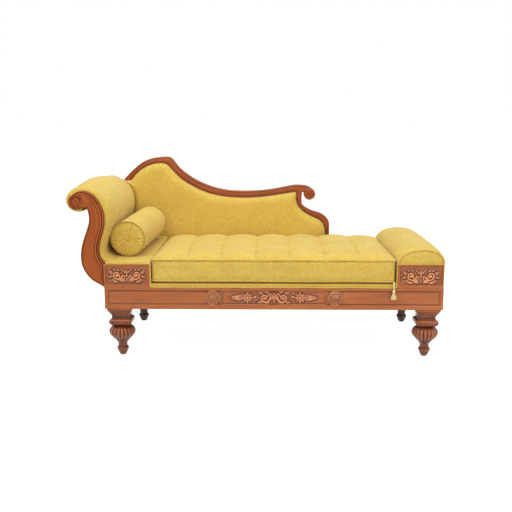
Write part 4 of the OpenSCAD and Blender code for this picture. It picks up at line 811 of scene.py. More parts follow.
# Share of the bulb's radius, share of its height, depth of the gadroons
bulb_profile = [
    (0.335, 0.005, 0), (0.37, 0.05, 0.1), (0.42, 0.10, 0.35), (0.50, 0.17, 0.7), (0.585, 0.235, 0.9),
    (0.68, 0.30, 1), (0.78, 0.37, 1), (0.87, 0.44, 1), (0.94, 0.51, 1), (0.985, 0.58, 1), (1.0, 0.645, 1),
    (0.99, 0.71, 1), (0.955, 0.77, 1), (0.905, 0.825, 0.95), (0.84, 0.87, 0.85), (0.76, 0.91, 0.6),
    (0.68, 0.945, 0.3), (0.60, 0.985, 0.05), (0.5, 1.0, 0)]
# Radius and height of the ball foot and the neck above it, in millimetres
foot_profile = [
    (13.5, 0), (15, 1.4), (18, 7), (21.5, 14), (24.7, 21), (26.6, 26.5), (27.5, 29.2), (28.6, 30.4),
    (29, 33), (29, 36.5), (28.3, 39.2), (26.5, 41.2), (24, 42.8), (22.6, 45), (22.2, 50), (22.4, 56),
    (22.6, 59), (21.5, 64)]


def rounded_square(h, n=8, corner=5.0):
    """A square of half width h with round corners of n points."""
    c = min(corner, h * 0.3)
    pts = []
    for q in range(4):
        for a in np.linspace(0, 90, n):
            t = radians(a + 90 * q)
            sx, sy = [(1, 1), (-1, 1), (-1, -1), (1, -1)][q]
            pts.append((sx * (h - c) + c * cos(t), sy * (h - c) + c * sin(t)))
    return pts


def leg_shade_and_highlight(z):
    """Painted shade in the grooves of the square part, and painted highlights on its arrises."""
    if z in (206.6, 205.6, 193.5, 192.2):
        return 0.6
    if z < 160:
        return 0.85
    return -0.5 if z in (190.0, 187.3, 237.5, 236.5) else 0.0


def leg(key):
    cx, cy = leg_axes[key]
    m = Mesh()
    rings, sh = [], []
    for h, z in square_profile:
        corner = 1.6 if z > 236 else (3.5 if z > 192 else 9.0)
        ring = [(cx + x, cy + y, z) for x, y in rounded_square(h, corner=corner)]
        rings.append(ring)
        sh += [leg_shade_and_highlight(z)] * len(ring)
    m.loft(rings, shade=np.array(sh))
    lobes, per = 20, 12
    a = np.linspace(0, 2 * pi, lobes * per, endpoint=False)
    f = (a * lobes / (2 * pi)) % 1.0
    lobe = np.sqrt(np.clip(1 - (2 * f - 1) ** 2, 0, 1)) ** 0.8
    rings, sh = [], []
    for r, z, g in smooth(bulb_profile, 3):
        rad = BULB_R * r - 7.0 * g * (1 - lobe)
        at_z = np.full(len(a), BULB_FOOT + BULB_H * z)
        rings.append(np.column_stack([cx + rad * np.cos(a), cy + rad * np.sin(a), at_z]))
        # Painted shade in the gadroons' grooves and on the bulb's top, painted highlights on the lobes
        sunk = np.clip(0.95 * g * (1 - lobe) ** 1.3 + (0.5 if z > 0.93 else 0), 0, 0.9)
        sh.append(sunk - (0.55 * g * lobe**6 if 0.45 < z < 0.9 else 0))
    m.loft(rings, shade=np.concatenate(sh))
    a = np.linspace(0, 2 * pi, 48, endpoint=False)
    rings, sh = [], []
    for r, z in smooth(foot_profile, 2):
        rings.append(np.column_stack([cx + r * np.cos(a), cy + r * np.sin(a), np.full(48, z)]))
        # A painted highlight line on the ball foot, and painted shade in the groove under its collar
        sh.append(np.full(48, -0.7 if abs(z - 30.4) < 1.6 else (0.6 if 41.5 < z < 46 else 0.0)))
    m.loft(rings, shade=np.concatenate(sh))
    # The rear legs take the copy of the mahogany with painted shade
    mat = wood_rear_shaded if "rear" in key else wood_leg
    return m.make("leg_" + key + "_turned", mat, stands_for=["leg_" + key], sharp=55)


for key in leg_axes:
    leg(key)

# Carving


def leaf(X, Z, px, pz, ang, L, W, H=1.0, bend=0.0, ribs=5):
    """Heights of one leaf: foot at (px, pz), angle, length, width, height, bend and number of lobes."""
    c, s = cos(radians(ang)), sin(radians(ang))
    x = (X - px) * c + (Z - pz) * s
    z = -(X - px) * s + (Z - pz) * c
    z = z - bend * x * x / max(L, 1e-6)
    t = x / L
    inside = (t > 0) & (t < 1)
    tt = np.clip(t, 1e-4, 1 - 1e-4)
    lobe = 1 + 0.16 * np.sin(2 * pi * ribs * tt)
    half = W / 2 * np.sin(pi * tt**0.72) ** 0.8 * lobe
    u = z / np.maximum(half, 1e-3)
    h = np.sqrt(np.clip(1 - u * u, 0, 1)) * (0.55 + 0.45 * np.sin(pi * tt))
    h -= 0.32 * np.exp(-((z / (0.07 * W)) ** 2)) * (tt < 0.9)
    h += 0.12 * np.cos(2 * pi * (ribs * tt - 1.1 * np.abs(u))) * np.clip(1 - np.abs(u), 0, 1)
    return np.where(inside & (np.abs(u) < 1), H * np.clip(h, 0, 1.1), -1)


def curl(X, Z, cx, cz, r0, r1, a0, turns, W, H=1.0):
    """Heights of a tendril that winds in about (cx, cz) from radius r0 to r1 and thins as it goes."""
    t = np.linspace(0, 1, 44)
    r = r0 * (r1 / r0) ** t
    a = np.radians(a0) + 2 * pi * turns * t
    path = np.column_stack([cx + r * np.cos(a), cz + r * np.sin(a)])
    d = np.full(X.shape, 1e9)
    w = np.full(X.shape, W)
    near = np.hypot(X - cx, Z - cz) < r0 + W
    x, z = X[near], Z[near]
    best, width = np.full(x.shape, 1e9), np.full(x.shape, W)
    for i in range(len(path) - 1):
        ab = path[i + 1] - path[i]
        k = np.clip(((x - path[i, 0]) * ab[0] + (z - path[i, 1]) * ab[1]) / (ab @ ab), 0, 1)
        dd = np.hypot(x - path[i, 0] - k * ab[0], z - path[i, 1] - k * ab[1])
        hit = dd < best
        best = np.where(hit, dd, best)
        width = np.where(hit, W * (1 - 0.55 * t[i]), width)
    d[near], w[near] = best, width
    h = np.sqrt(np.clip(1 - (d / (w / 2)) ** 2, 0, 1))
    from_eye = (X - path[-1, 0]) ** 2 + (Z - path[-1, 1]) ** 2
    h = np.maximum(h, 1.1 * np.sqrt(np.clip(1 - from_eye / (W * 0.55) ** 2, 0, 1)))
    return np.where(h > 0.02, H * h, -1)


def boss(X, Z, cx, cz, r, H=1.0):
    """Heights of a round boss."""
    q = 1 - ((X - cx) ** 2 + (Z - cz) ** 2) / (r * r)
    return np.where(q > 0, H * np.sqrt(np.clip(q, 0, 1)), -1)


def neighbours(p, axis):
    """The values before, at and after each place along an axis, with the edge repeated."""
    q = np.pad(p, [(1, 1) if a == axis else (0, 0) for a in (0, 1)], mode="edge")
    return [np.take(q, range(i, i + p.shape[axis]), axis=axis) for i in range(3)]


def blurred(p):
    """One pass of a blur along both axes."""
    for axis in (0, 1):
        before, here, after = neighbours(p, axis)
        p = 0.25 * before + 0.5 * here + 0.25 * after
    return p


def relief(name, centre, w, h, floor_y, depth, design, node, step=1.0):
    """A carved panel in low relief: design gives heights from 0 to 1, or -1 where the ground shows."""
    nx, nz = int(w / step) + 1, int(h / step) + 1
    X, Z = np.meshgrid(np.linspace(-w / 2, w / 2, nx), np.linspace(-h / 2, h / 2, nz))
    height = np.full(X.shape, -1.0)
    for part in design(X, Z):
        height = np.maximum(height, part)
    soft = blurred(np.where(height > 0, height, 0))
    lip, faint = 0.25, 0.02
    y = np.where(soft < faint, floor_y - lip, floor_y + lip - depth * soft * 1.28)
    p = np.stack([centre[0] + X, y, centre[1] + Z], axis=-1)
    wide = (soft > faint).astype(float)
    for _ in range(3):
        for axis in (0, 1):
            wide = np.maximum.reduce(neighbours(wide, axis))
    live = wide > 0
    keep = np.zeros((nz - 1, nx - 1), bool)
    for a, b in ((0, 0), (0, 1), (1, 0), (1, 1)):
        keep |= live[a:nz - 1 + a, b:nx - 1 + b]
    idx = np.arange(nz * nx).reshape(nz, nx)
    faces = np.array([(idx[i, j], idx[i, j + 1], idx[i + 1, j + 1], idx[i + 1, j])
                      for i, j in zip(*np.nonzero(keep))])
    # Painted shade on the ground and in the hollows beside raised parts; painted highlights on crests and
    # high points
    blur = soft
    for _ in range(5):
        blur = blurred(blur)
    dark = np.clip((0.40 - soft) * 1.5, 0, 0.55) + np.clip((blur - soft) * 3.2, 0, 0.8)
    shade = dark - np.clip((soft - blur) * 5.0, 0, 0.8) - np.clip((soft - 0.80) * 3.5, 0, 0.6)
    used = np.unique(faces.ravel())
    new = np.full(nz * nx, -1)
    new[used] = np.arange(len(used))
    return piece(name, p.reshape(-1, 3)[used], new[faces].tolist(), wood_carved, stands_for=[node], sharp=60,
                 shade=shade.ravel()[used], closed=False)


def foot_plinth_design(X, Z):
    """The plinth's design with more leaves along its foot."""
    yield from plinth_design(X, Z)
    for m in (-1, 1):
        x = X * m
        yield leaf(x, Z, 6, -30, 8, 44, 17, 1.2, 0.2, 5)
        yield leaf(x, Z, 34, -33, 4, 36, 14, 1.2, 0.2, 5)


def plinth_design(X, Z):
    """Two tendrils with leaves between them, mirrored."""
    for m in (-1, 1):
        x = X * m
        yield curl(x, Z, 46, 3, 25, 6, 200, 1.35, 11.5)
        yield curl(x, Z, 19, -6, 17, 4, 20, -1.2, 9.5, 0.95)
        yield leaf(x, Z, 64, 8, 30, 30, 17)
        yield leaf(x, Z, 66, -3, -12, 28, 15, 0.95)
        yield leaf(x, Z, 58, -14, -38, 26, 13, 0.9, 0.2)
        yield leaf(x, Z, 36, 20, 62, 19, 11, 0.9, -0.2)
        yield leaf(x, Z, 50, 24, 30, 22, 10, 0.85)
        yield leaf(x, Z, 4, -26, 6, 46, 18, 1.1, 0.16, 6)
        yield leaf(x, Z, 40, -30, -4, 36, 16, 1.05, 0.3, 5)
        yield leaf(x, Z, 4, 8, 64, 28, 12, 0.95, -0.25)
        yield leaf(x, Z, 10, 22, 18, 24, 9, 0.8, 0.3)
        yield leaf(x, Z, 26, -16, -70, 18, 9, 0.7)
        yield boss(x, Z, 46, 3, 8, 1.2)
        yield boss(x, Z, 84, -22, 4.0, 0.9)
        yield boss(x, Z, 83, 27, 3.6, 0.9)
    yield leaf(X, Z, 0, 2, 90, 32, 15, 1.05)
    yield leaf(X, Z, 0, -8, -90, 26, 13, 1.0)
    yield boss(X, Z, 0, 0, 6.5, 1.15)


for end, x, design in (("head", PLINTH_L / 2 - 0.2, plinth_design),
                       ("foot", (FOOT_X + 0.3 + SEAT_L - 3) / 2, foot_plinth_design)):
    relief(end + "_plinth_leafwork", (x, RAIL_TOP + 60.5), 192, 82, 5.0, 6.4, design,
           end + "_plinth_carving", 0.9)

ROUNDELS_AT = (0.320, 0.683)
PANEL_Z = LEG_H + RAIL_BASE + (RAIL_H - RAIL_BASE - RAIL_LIP) / 2
TABLET_X = SEAT_L * sum(ROUNDELS_AT) / 2


def tablet_design(X, Z):
    """Tendrils at the middle, a flower each side and a long leaf at each end."""
    for m in (-1, 1):
        x = X * m
        yield curl(x, Z, 44, 0, 27, 6, 180, 1.4, 11.5)
        yield curl(x, Z, 15, 4, 17, 4, 10, 1.2, 9, 0.95)
        yield leaf(x, Z, 50, 17, 35, 32, 17, 1.0, -0.3)
        yield leaf(x, Z, 52, -17, -30, 32, 17, 1.0, 0.3)
        yield leaf(x, Z, 18, -25, 10, 36, 15, 1.0, -0.2)
        yield leaf(x, Z, 20, 24, 8, 34, 15, 1.0, 0.2)
        yield leaf(x, Z, 74, 2, 4, 28, 9, 0.8)
        yield leaf(x, Z, 78, -8, -18, 30, 9, 0.8, 0.3)
        yield boss(x, Z, 46, 0, 7, 1.1)
        yield boss(x, Z, 92, 4, 7.0, 1.3)
        for a in range(0, 360, 45):
            dx, dz = 3 * cos(radians(a)), 3 * sin(radians(a))
            yield leaf(x, Z, 128 + dx, dz, a, 26 if a % 90 else 31, 14, 1.05)
        yield boss(x, Z, 128, 0, 8, 1.25)
        yield leaf(x, Z, 148, 0, 0, 68, 30, 1.1, 0, 3)
        yield leaf(x, Z, 150, 5, 22, 44, 13, 0.95, -0.35)
        yield leaf(x, Z, 150, -5, -22, 44, 13, 0.95, 0.35)
        yield leaf(x, Z, 148, 3, 62, 20, 9, 0.8, -0.3)
        yield leaf(x, Z, 148, -3, -62, 20, 9, 0.8, 0.3)
    for a in range(30, 360, 60):
        yield leaf(X, Z, 0, 0, a, 20, 9, 0.95)
    yield leaf(X, Z, 0, 8, 90, 21, 12, 1.0)
    yield leaf(X, Z, 0, -8, -90, 21, 12, 1.0)
    yield boss(X, Z, 0, 0, 6, 1.15)
    # The tablet's own thin frame
    edge = np.minimum(255 - np.abs(X), 35.5 - np.abs(Z))
    band = np.sqrt(np.clip(1 - ((edge - 2.2) / 2.2) ** 2, 0, 1)) * 0.55
    yield np.where((edge > 0) & (edge < 4.4) & (np.abs(X) > 20), band, -1)


def roundel_design(X, Z):
    """A ring of petals between two beads, round a dished middle."""
    r, a = np.hypot(X, Z), np.arctan2(Z, X)
    for c, w, h in ((34.6, 2.2, 0.95), (23.0, 2.6, 0.85)):
        ring = h * np.sqrt(np.clip(1 - ((r - c) / w) ** 2, 0, 1))
        yield np.where(ring > 0.02, ring, -1)
    petal = np.abs(np.cos(7 * a)) ** 0.6
    body = np.sqrt(np.clip(1 - ((r - 28.8) / (3.9 * (0.3 + 0.7 * petal))) ** 2, 0, 1)) * (0.3 + 0.6 * petal)
    yield np.where(body > 0.05, body, -1)
    yield np.where(r < 34, 0.06, -1)
    yield np.where(r < 20, 0.42 * np.sqrt(np.clip(1 - (r / 20.5) ** 6, 0, 1)), -1)


relief("rail_tablet_leafwork", (TABLET_X, PANEL_Z), 514, 73, 7.0, 6.8, tablet_design, "rail_carving", 0.9)
for i, share in enumerate(ROUNDELS_AT):
    relief("rail_roundel_%d" % i, (SEAT_L * share, PANEL_Z), 74, 74, 7.0, 6.0, roundel_design,
           "rail_roundels", 0.7)

# Stuffed pieces


def points_of(mesh):
    """A mesh's points as rows, in metres."""
    flat = np.empty(len(mesh.vertices) * 3)
    mesh.vertices.foreach_get("co", flat)
    return flat.reshape(-1, 3)


def move_points(mesh, points):
    mesh.vertices.foreach_set("co", points.ravel())
    mesh.update()


def coarse_copy(sheets):
    """The cover's sheets as one closed mesh, and how firmly each of its points is held, from 0 to 10."""
    bm = bmesh.new()
    layer = bm.verts.layers.float.new("held")
    for points, held, wrap in sheets:
        rows, cols = points.shape[:2]
        world = points / 1000 + np.array([LOW.x, LOW.y, 0])
        made = []
        for i in range(rows):
            for j in range(cols):
                v = bm.verts.new(world[i, j].tolist())
                v[layer] = float(held[i, j])
                made.append(v)
        for i in range(rows - 1):
            for j in range(cols if wrap else cols - 1):
                k = (j + 1) % cols
                a, b = i * cols, (i + 1) * cols
                bm.faces.new((made[a + j], made[a + k], made[b + k], made[b + j]))
    bmesh.ops.remove_doubles(bm, verts=bm.verts, dist=1e-5)
    bmesh.ops.recalc_face_normals(bm, faces=bm.faces)
    if bm.calc_volume(signed=True) < 0:
        bmesh.ops.reverse_faces(bm, faces=bm.faces)
    level = np.array([round(min(max(v[layer], 0), 1) * 10) for v in bm.verts])
    me = bpy.data.meshes.new("swell")
    bm.to_mesh(me)
    bm.free()
    return me, level


def swell(me, level, pressure, slack, stiff):
    """Runs the cloth on the coarse copy and gives its points before and after."""
    last_frame = 20
    copy = bpy.data.objects.new("swell", me)
    scene.collection.objects.link(copy)
    rest = points_of(me)
    group = copy.vertex_groups.new(name="held")
    for k in range(1, 11):
        group.add(np.nonzero(level == k)[0].tolist(), k / 10, "REPLACE")
    mod = copy.modifiers.new("swell", "CLOTH")
    c = mod.settings
    c.quality = 3
    c.mass = 0.25
    c.tension_stiffness = c.compression_stiffness = stiff
    c.shear_stiffness = stiff * 0.4
    c.bending_stiffness = 0.25
    c.use_pressure = True
    c.uniform_pressure_force = pressure
    c.shrink_min = -slack
    c.vertex_group_mass = "held"
    c.effector_weights.gravity = 0
    mod.collision_settings.use_collision = False
    mod.point_cache.frame_start, mod.point_cache.frame_end = 1, last_frame
    scene.frame_start, scene.frame_end = 1, last_frame
    for number in range(1, last_frame + 1):
        scene.frame_set(number)
    done = points_of(copy.evaluated_get(bpy.context.evaluated_depsgraph_get()).data)
    bpy.data.objects.remove(copy)
    bpy.data.meshes.remove(me)
    scene.frame_set(1)
    return rest, done


def inflate(ob, sheets, pressure=4.0, cap=8.0, slack=0.0, stiff=14.0):
    """Cloth under pressure on a coarser copy of the cover, carried over to the fine mesh.

    sheets: (points in workshop mm, held, wrap); held is 1 where the cover is sewn down, 0 where it is free.
    No point moves by more than cap, in millimetres.
    """
    me, level = coarse_copy(sheets)
    rest, done = swell(me, level, pressure, slack, stiff)
    move = done - rest
    far = np.linalg.norm(move, axis=1, keepdims=True)
    move *= np.minimum(1, cap / 1000 / np.maximum(far, 1e-9))
    tree = KDTree(len(rest))
    for k, q in enumerate(rest):
        tree.insert(q, k)
    tree.balance()
    fine = points_of(ob.data)
    shift = np.zeros_like(fine)
    for k, q in enumerate(fine):
        near = tree.find_n(q, 5)
        gap = max(near[-1][2], 1e-6)
        weight = np.array([(1.001 - n[2] / gap) ** 2 for n in near])
        shift[k] = (move[[n[1] for n in near]] * weight[:, None]).sum(axis=0) / weight.sum()
    move_points(ob.data, fine + shift)


# Shares of the depth from front to rear, and the pad's fullness and the ledge's rise there
HEAD_FILL = ([0, 0.015, 0.05, 0.13, 0.28, 0.5, 0.8, 0.93, 0.975, 1],
             [0, 0.34, 0.6, 0.84, 1, 1, 0.84, 0.78, 0.55, 0])
LEDGE_SHARES = ([0, 0.015, 0.05, 0.13, 0.28, 0.5, 0.8, 0.93, 0.975, 1],
                [0.1, 0.12, 0.18, 0.32, 0.56, 0.8, 0.96, 1, 1, 1])


def ledge_top(y):
    t = (np.asarray(y, float) - FACING_T) / (SEAT_D - 2 * FACING_T)
    return PLINTH_TOP + LEDGE_T + LEDGE_RISE * np.interp(t, *LEDGE_SHARES)


def head_pad():
    floor = PLINTH_TOP + LEDGE_T + LEDGE_RISE
    path = np.vstack([scroll_inner, volute_turn(300, 16)[1:]])
    path = resample(path[path[:, 1] > floor + 24], 130)
    t_y = np.concatenate([[0, 0.004, 0.010, 0.018, 0.03], np.linspace(0.05, 0.95, 46), [0.975, 0.99, 1]])
    fill = np.interp(t_y, *HEAD_FILL)
    d = SEAT_D - 2 * FACING_T
    normal = right_of(path)
    rings = []
    for t, f in zip(t_y, fill):
        y = FACING_T + d * t
        round_off = shoulder(min(t, 1 - t) * d, 9.0, 6.0)
        dip = np.interp(t, [0, 0.13, 0.28, 0.45, 0.6, 0.8, 0.9], [0.46, 0.44, 0.30, 0.12, 0.14, 0.30, 0.42])
        share = path[:, 2:3] * (1 - dip * np.clip((path[:, 1:2] - 772) / 40, 0, 1))
        out = path[:, :2] + (HEAD_EDGE - round_off + (HEAD_CROWN - HEAD_EDGE) * f * share) * normal
        # The cover flares out on to the ledge
        floor_z = float(ledge_top(y)) + 0.4
        drop = out[0, 1] - floor_z
        k = np.linspace(0, 1, 9)[:-1]
        flare = np.column_stack([out[0, 0] + (1 - k) ** 2.6 * 58, floor_z - 0.6 + (drop + 0.6) * k**1.5])
        rings.append(across(np.vstack([flare, out]), y))
    P = np.array(rings)
    flat = P.reshape(-1, 3)
    wob = (value_noise(flat, 60, 3).reshape(P.shape[:2]) * 0.9
           + value_noise(flat, 150, 5).reshape(P.shape[:2]) * 1.6)
    n2 = np.zeros_like(P)
    n2[:, 8:, 0], n2[:, 8:, 2] = normal[:, 0], normal[:, 1]
    P = P + n2 * wob[..., None] * np.clip(np.minimum(t_y, 1 - t_y) * 12, 0, 1)[:, None, None]
    # The inner side follows the frame, and its last point lies low between the facings
    inner = path[::-1, :2] - 16 * normal[::-1]
    back = np.array([across(inner, FACING_T + d * t) for t in t_y])
    last = back[:, -1:, :] * (1, 1, 0) + (0, 0, RAIL_TOP + PLINTH_H + 12)
    full = np.concatenate([P, back, last], axis=1)
    ob = Mesh().loft(list(full)).make("head_cover", gold, stands_for=["head_upholstery"], sharp=0, fill=0.85)
    held = np.ones(full.shape[:2])
    edge = np.minimum(t_y, 1 - t_y) * d
    held[:, 9:138] = np.clip(1 - edge / 14, 0, 1)[:, None]
    pick = np.concatenate([[0], np.arange(1, len(t_y) - 1, 2), [len(t_y) - 1]])
    inflate(ob, [(full[pick][:, ::2], held[pick][:, ::2], True)], pressure=3.0, cap=2.0, slack=0.004)


head_pad()


def outside_head():
    n = 70
    path = resample(scroll_outer[12:], n)
    normal = right_of(path)
    from_end = np.minimum(np.arange(n), n - 1 - np.arange(n))
    rings = []
    for y in np.linspace(FACING_T, SEAT_D - FACING_T, 40):
        ends = min(y - FACING_T, SEAT_D - FACING_T - y)
        r = 7.0 - 3.5 * max(0, 1 - ends / 5) ** 2 + 3.0 * min(ends / 90, 1)
        out = path + r * normal * np.minimum(1, 0.45 + from_end / 6)[:, None]
        rings.append(across(np.vstack([out, (path - 6.5 * normal)[::-1]]), y))
    Mesh().loft(rings).make("head_outside", gold, stands_for=["head_outside_cover"], sharp=50, fill=0.3)


outside_head()


def ledge():
    first = [0.0, 0.8, 2.4, 4.5, *np.linspace(8, FACING_T, 4), FACING_T + 0.4]
    last = SEAT_D - np.array([FACING_T + 0.4, FACING_T, 11, 4, 1, 0])
    bend = 9
    rings = []
    for y in np.concatenate([first, np.linspace(40, 700, 24), last]):
        e = min(y, SEAT_D - y)
        top = float(ledge_top(y)) - shoulder(e, 4.5, 4.5)
        x0 = LEAN if (y <= FACING_T or y >= SEAT_D - FACING_T) else -LEAN
        x1 = PLINTH_L + COVER_T
        corner = [(x1 - bend + bend * sin(radians(a)), top - bend + bend * cos(radians(a)))
                  for a in np.linspace(90, 0, 8)]
        low = [(x0, PLINTH_TOP + 0.3), (PLINTH_L, PLINTH_TOP + 0.3), (PLINTH_L, RAIL_TOP + 0.3),
               (x1, RAIL_TOP + 0.3)]
        pts = low + corner + [(x0 + (x1 - x0) * 0.5, top + min(e, 2.0) * 0.6), (x0, top)]
        rings.append([(a, y, b) for a, b in pts])
    Mesh().loft(rings).make("ledge_cover", gold, stands_for=["ledge_upholstery"], sharp=50, fill=0.4)


ledge()


def pad_edge():
    """Upper edge of the back pad, from the seat by the return round to the head roll."""
    side = return_inner[::-1]
    side = side[side[:, 1] < RAIL_TOP + BACK_H * 0.655]
    crest = crest_lower[::-1]
    crest = crest[crest[:, 0] < BACK_L * 0.836]
    end = np.linspace(crest[-1], (-16.0, 816.0), 7)[1:]
    return np.vstack([side, crest, end])


def roll_edge(fill):
    """Outline of the head roll from the ledge to its crown, for one fullness."""
    path = scroll_inner[scroll_inner[:, 1] > PLINTH_TOP + LEDGE_T + LEDGE_RISE]
    return path[:, :2] + (HEAD_EDGE + (HEAD_CROWN - HEAD_EDGE) * fill * path[:, 2:3]) * right_of(path)


def skirt(mesh, sheet, y, shade=0.0):
    """Joins the edge of a sheet to the same edge at the depth y, and gives that edge."""
    rim = np.concatenate([sheet[-1], sheet[::-1, -1][1:], sheet[0, ::-1][1:], sheet[:, 0][1:-1]])
    behind = rim.copy()
    behind[:, 1] = y
    mesh.grid(np.stack([rim, behind]), wrap=True, shade=shade)
    return behind


def back_pad():
    full = pad_edge()
    full = full[full[:, 1] > DECK_TOP + 1]
    n = 300
    top = resample(full, n)
    inset = beside(top, 0.8)
    # Lower ends of the columns: the deck, the ledge, then up the head roll
    roll = roll_edge(0.6)
    roll = roll[: int(np.argmax(roll[:, 1] > 813))]
    u = np.linspace(0, 1, n)
    turn = 0.925
    x_low = np.interp(u, [0, 0.16, turn], [top[0, 0] - 3, BACK_L * 0.80, roll[0, 0] + 0.8])
    z_low = np.where(x_low < PLINTH_L + 4, PLINTH_TOP + LEDGE_T + LEDGE_RISE + 0.8, DECK_TOP + 0.6)
    k = lengths(roll)
    at = np.clip((u - turn) / (1 - turn), 0, 1) * k[-1]
    x_low = np.where(u > turn, np.interp(at, k, roll[:, 0]) + 0.8, x_low)
    z_low = np.where(u > turn, np.maximum(np.interp(at, k, roll[:, 1]), z_low), z_low)
    rows = 64
    t = 1 - (1 - np.linspace(0, 1, rows)) ** 1.7
    X = x_low[None] + (inset[:, 0] - x_low)[None] * t[:, None]
    Z = z_low[None] + (inset[:, 1] - z_low)[None] * t[:, None]
    Z[-1] = np.maximum(Z[-1], z_low + 0.5)
    D = np.minimum(distance(X, Z, inset[::2]), distance(X, Z, roll[::3]) * 1.4)
    f = np.clip(D / 52, 0, 1)
    rise = BACK_CROWN * (0.86 * np.sqrt(1 - (1 - f) ** 2.3) + 0.14 * np.clip(D / 170, 0, 1))
    P = np.stack([X, BACK_Y + 6 - (rise + 6), Z], axis=-1)
    noise = (value_noise(P.reshape(-1, 3), 85, 11).reshape(X.shape) * 1.2
             + value_noise(P.reshape(-1, 3), 38, 12).reshape(X.shape) * 0.35)
    P[..., 1] -= noise * np.clip(D / 60, 0, 1)
    # Small gathers that run in from the edge
    s = lengths(inset)
    gather = np.sin(s / 17.0 + 1.7 * np.sin(s / 61.0)) * (0.5 + 0.5 * np.sin(s / 143.0 + 1))
    P[..., 1] -= gather[None] * 0.8 * np.exp(-((D - 16) / 13) ** 2)
    # Painted shade along the pad's edge under the frame and on its sides
    edge_dark = np.clip(1 - D / 4.5, 0, 1) * 0.5
    m = Mesh().grid(P, shade=edge_dark)
    behind = skirt(m, P, BACK_Y + 24, 0.2)
    m.add(behind, [tuple(range(len(behind)))])
    m.make("back_pad", gold, stands_for=["back_upholstery"], sharp=0, fill=0.8, closed=False)


back_pad()


def back_cover():
    edge = beside(pad_edge(), -1.5)
    top = resample(edge[edge[:, 1] > RAIL_TOP + 2], 160)
    n = len(top)
    x_low = np.interp(np.linspace(0, 1, n), [0, 0.16, 1], [top[0, 0] - 2, BACK_L * 0.80, 12])
    z_low = np.where(x_low < PLINTH_L + 4, PLINTH_TOP + 19, RAIL_TOP + 0.4)
    t = np.linspace(0, 1, 26)
    X = x_low[None] + (top[:, 0] - x_low)[None] * t[:, None]
    Z = z_low[None] + (top[:, 1] - z_low)[None] * t[:, None]
    D = distance(X, Z, top[::2])
    y0 = BACK_Y + CREST_T
    P = np.stack([X, y0 + 1.0 + 2.4 * np.sqrt(np.clip(D / 14, 0, 1)), Z], axis=-1)
    m = Mesh().grid(P)
    skirt(m, P, y0 + 0.05)
    m.make("back_cloth", gold, stands_for=["back_outside_cover"], sharp=40, fill=0.1, closed=False)


back_cover()


def seat_lip():
    x0, x1 = PLINTH_L + COVER_T + 0.3, FOOT_X - COVER_T - 0.3
    m = Mesh()
    prof = [(8, RAIL_TOP + 0.2), (8, RAIL_TOP + 5.0), (7.2, RAIL_TOP + 7.0), (6.8, RAIL_TOP + 13),
            (7.6, RAIL_TOP + 18), (11, RAIL_TOP + 21.5), (17, DECK_TOP - 0.1), (40, DECK_TOP),
            (BACK_Y - 0.3, DECK_TOP), (BACK_Y - 0.3, RAIL_TOP + 0.2)]
    # Painted shadow at the foot of the lip above the rail and in the gap under the cushion
    m.loft([[(x, a, b) for a, b in prof] for x in np.linspace(x0, x1, 60)],
           shade=np.tile([0.95, 0.8, 0.1, 0, 0, 0.4, 0.8, 0.5, 0, 0], 60))
    prof = [(BACK_Y - 2, RAIL_TOP), (SEAT_D, RAIL_TOP), (SEAT_D, DECK_TOP - 6), (SEAT_D - 2, DECK_TOP - 2),
            (SEAT_D - 6, DECK_TOP), (BACK_Y - 2, DECK_TOP)]
    m.loft([[(x, a, b) for a, b in prof] for x in np.linspace(BACK_L + 0.3, x1, 12)])
    m.make("deck_cover", gold, stands_for=["seat_deck"], sharp=50, fill=0.5)


seat_lip()


def cord_welt():
    """Welt along the seat lip, which climbs the side of each plinth."""
    r = PIPING / 2
    x0, x1 = PLINTH_L + 1.2 + r * 0.6, FOOT_X - 1.2 - r * 0.6
    z0 = RAIL_TOP + r + 0.3
    b = 9.0
    left = arc((x0 + b, z0 + b), b, 180, 270, 8)
    right = arc((x1 - b, z0 + b), b, 270, 360, 8)
    down = np.column_stack([np.full(26, x0), np.linspace(PLINTH_TOP + 3, z0 + b + 1, 26)])
    up = down[::-1].copy()
    up[:, 0] = x1
    mid = np.column_stack([np.linspace(x0 + b, x1 - b, 150)[1:-1], np.full(148, z0)])
    p = np.vstack([down, left, mid, right, up])
    path = across(p, r)
    path[:, 2] += 0.5 * value_noise(path, 90, 21)
    radius = np.where(p[:, 1] > DECK_TOP, r * 0.72, r)
    Mesh().tube(path, radius, 12).make("seat_welt", gold, stands_for=["platform_welt"], sharp=0)


cord_welt()

# Foot roll

roll_shares = [
    [1, 0.03, 0], [1, 0.26, 0.3], [0.955, 0.56, 0.8], [0.84, 0.82, 1], [0.69, 0.965, 1], [0.53, 1, 1],
    [0.37, 0.965, 1], [0.21, 0.82, 1], [0.075, 0.56, 0.8], [0.006, 0.26, 0.3], [0, 0.03, 0]]


def foot_arch(n):
    """Outline of the foot roll, with its fullness as a third column."""
    w, h = PLINTH_L + COVER_T, 76.0
    return resample(smooth(placed(roll_shares, FOOT_X - COVER_T, PLINTH_TOP, w, h), 6), n)


ROLL_INSET = PIPING * 0.7


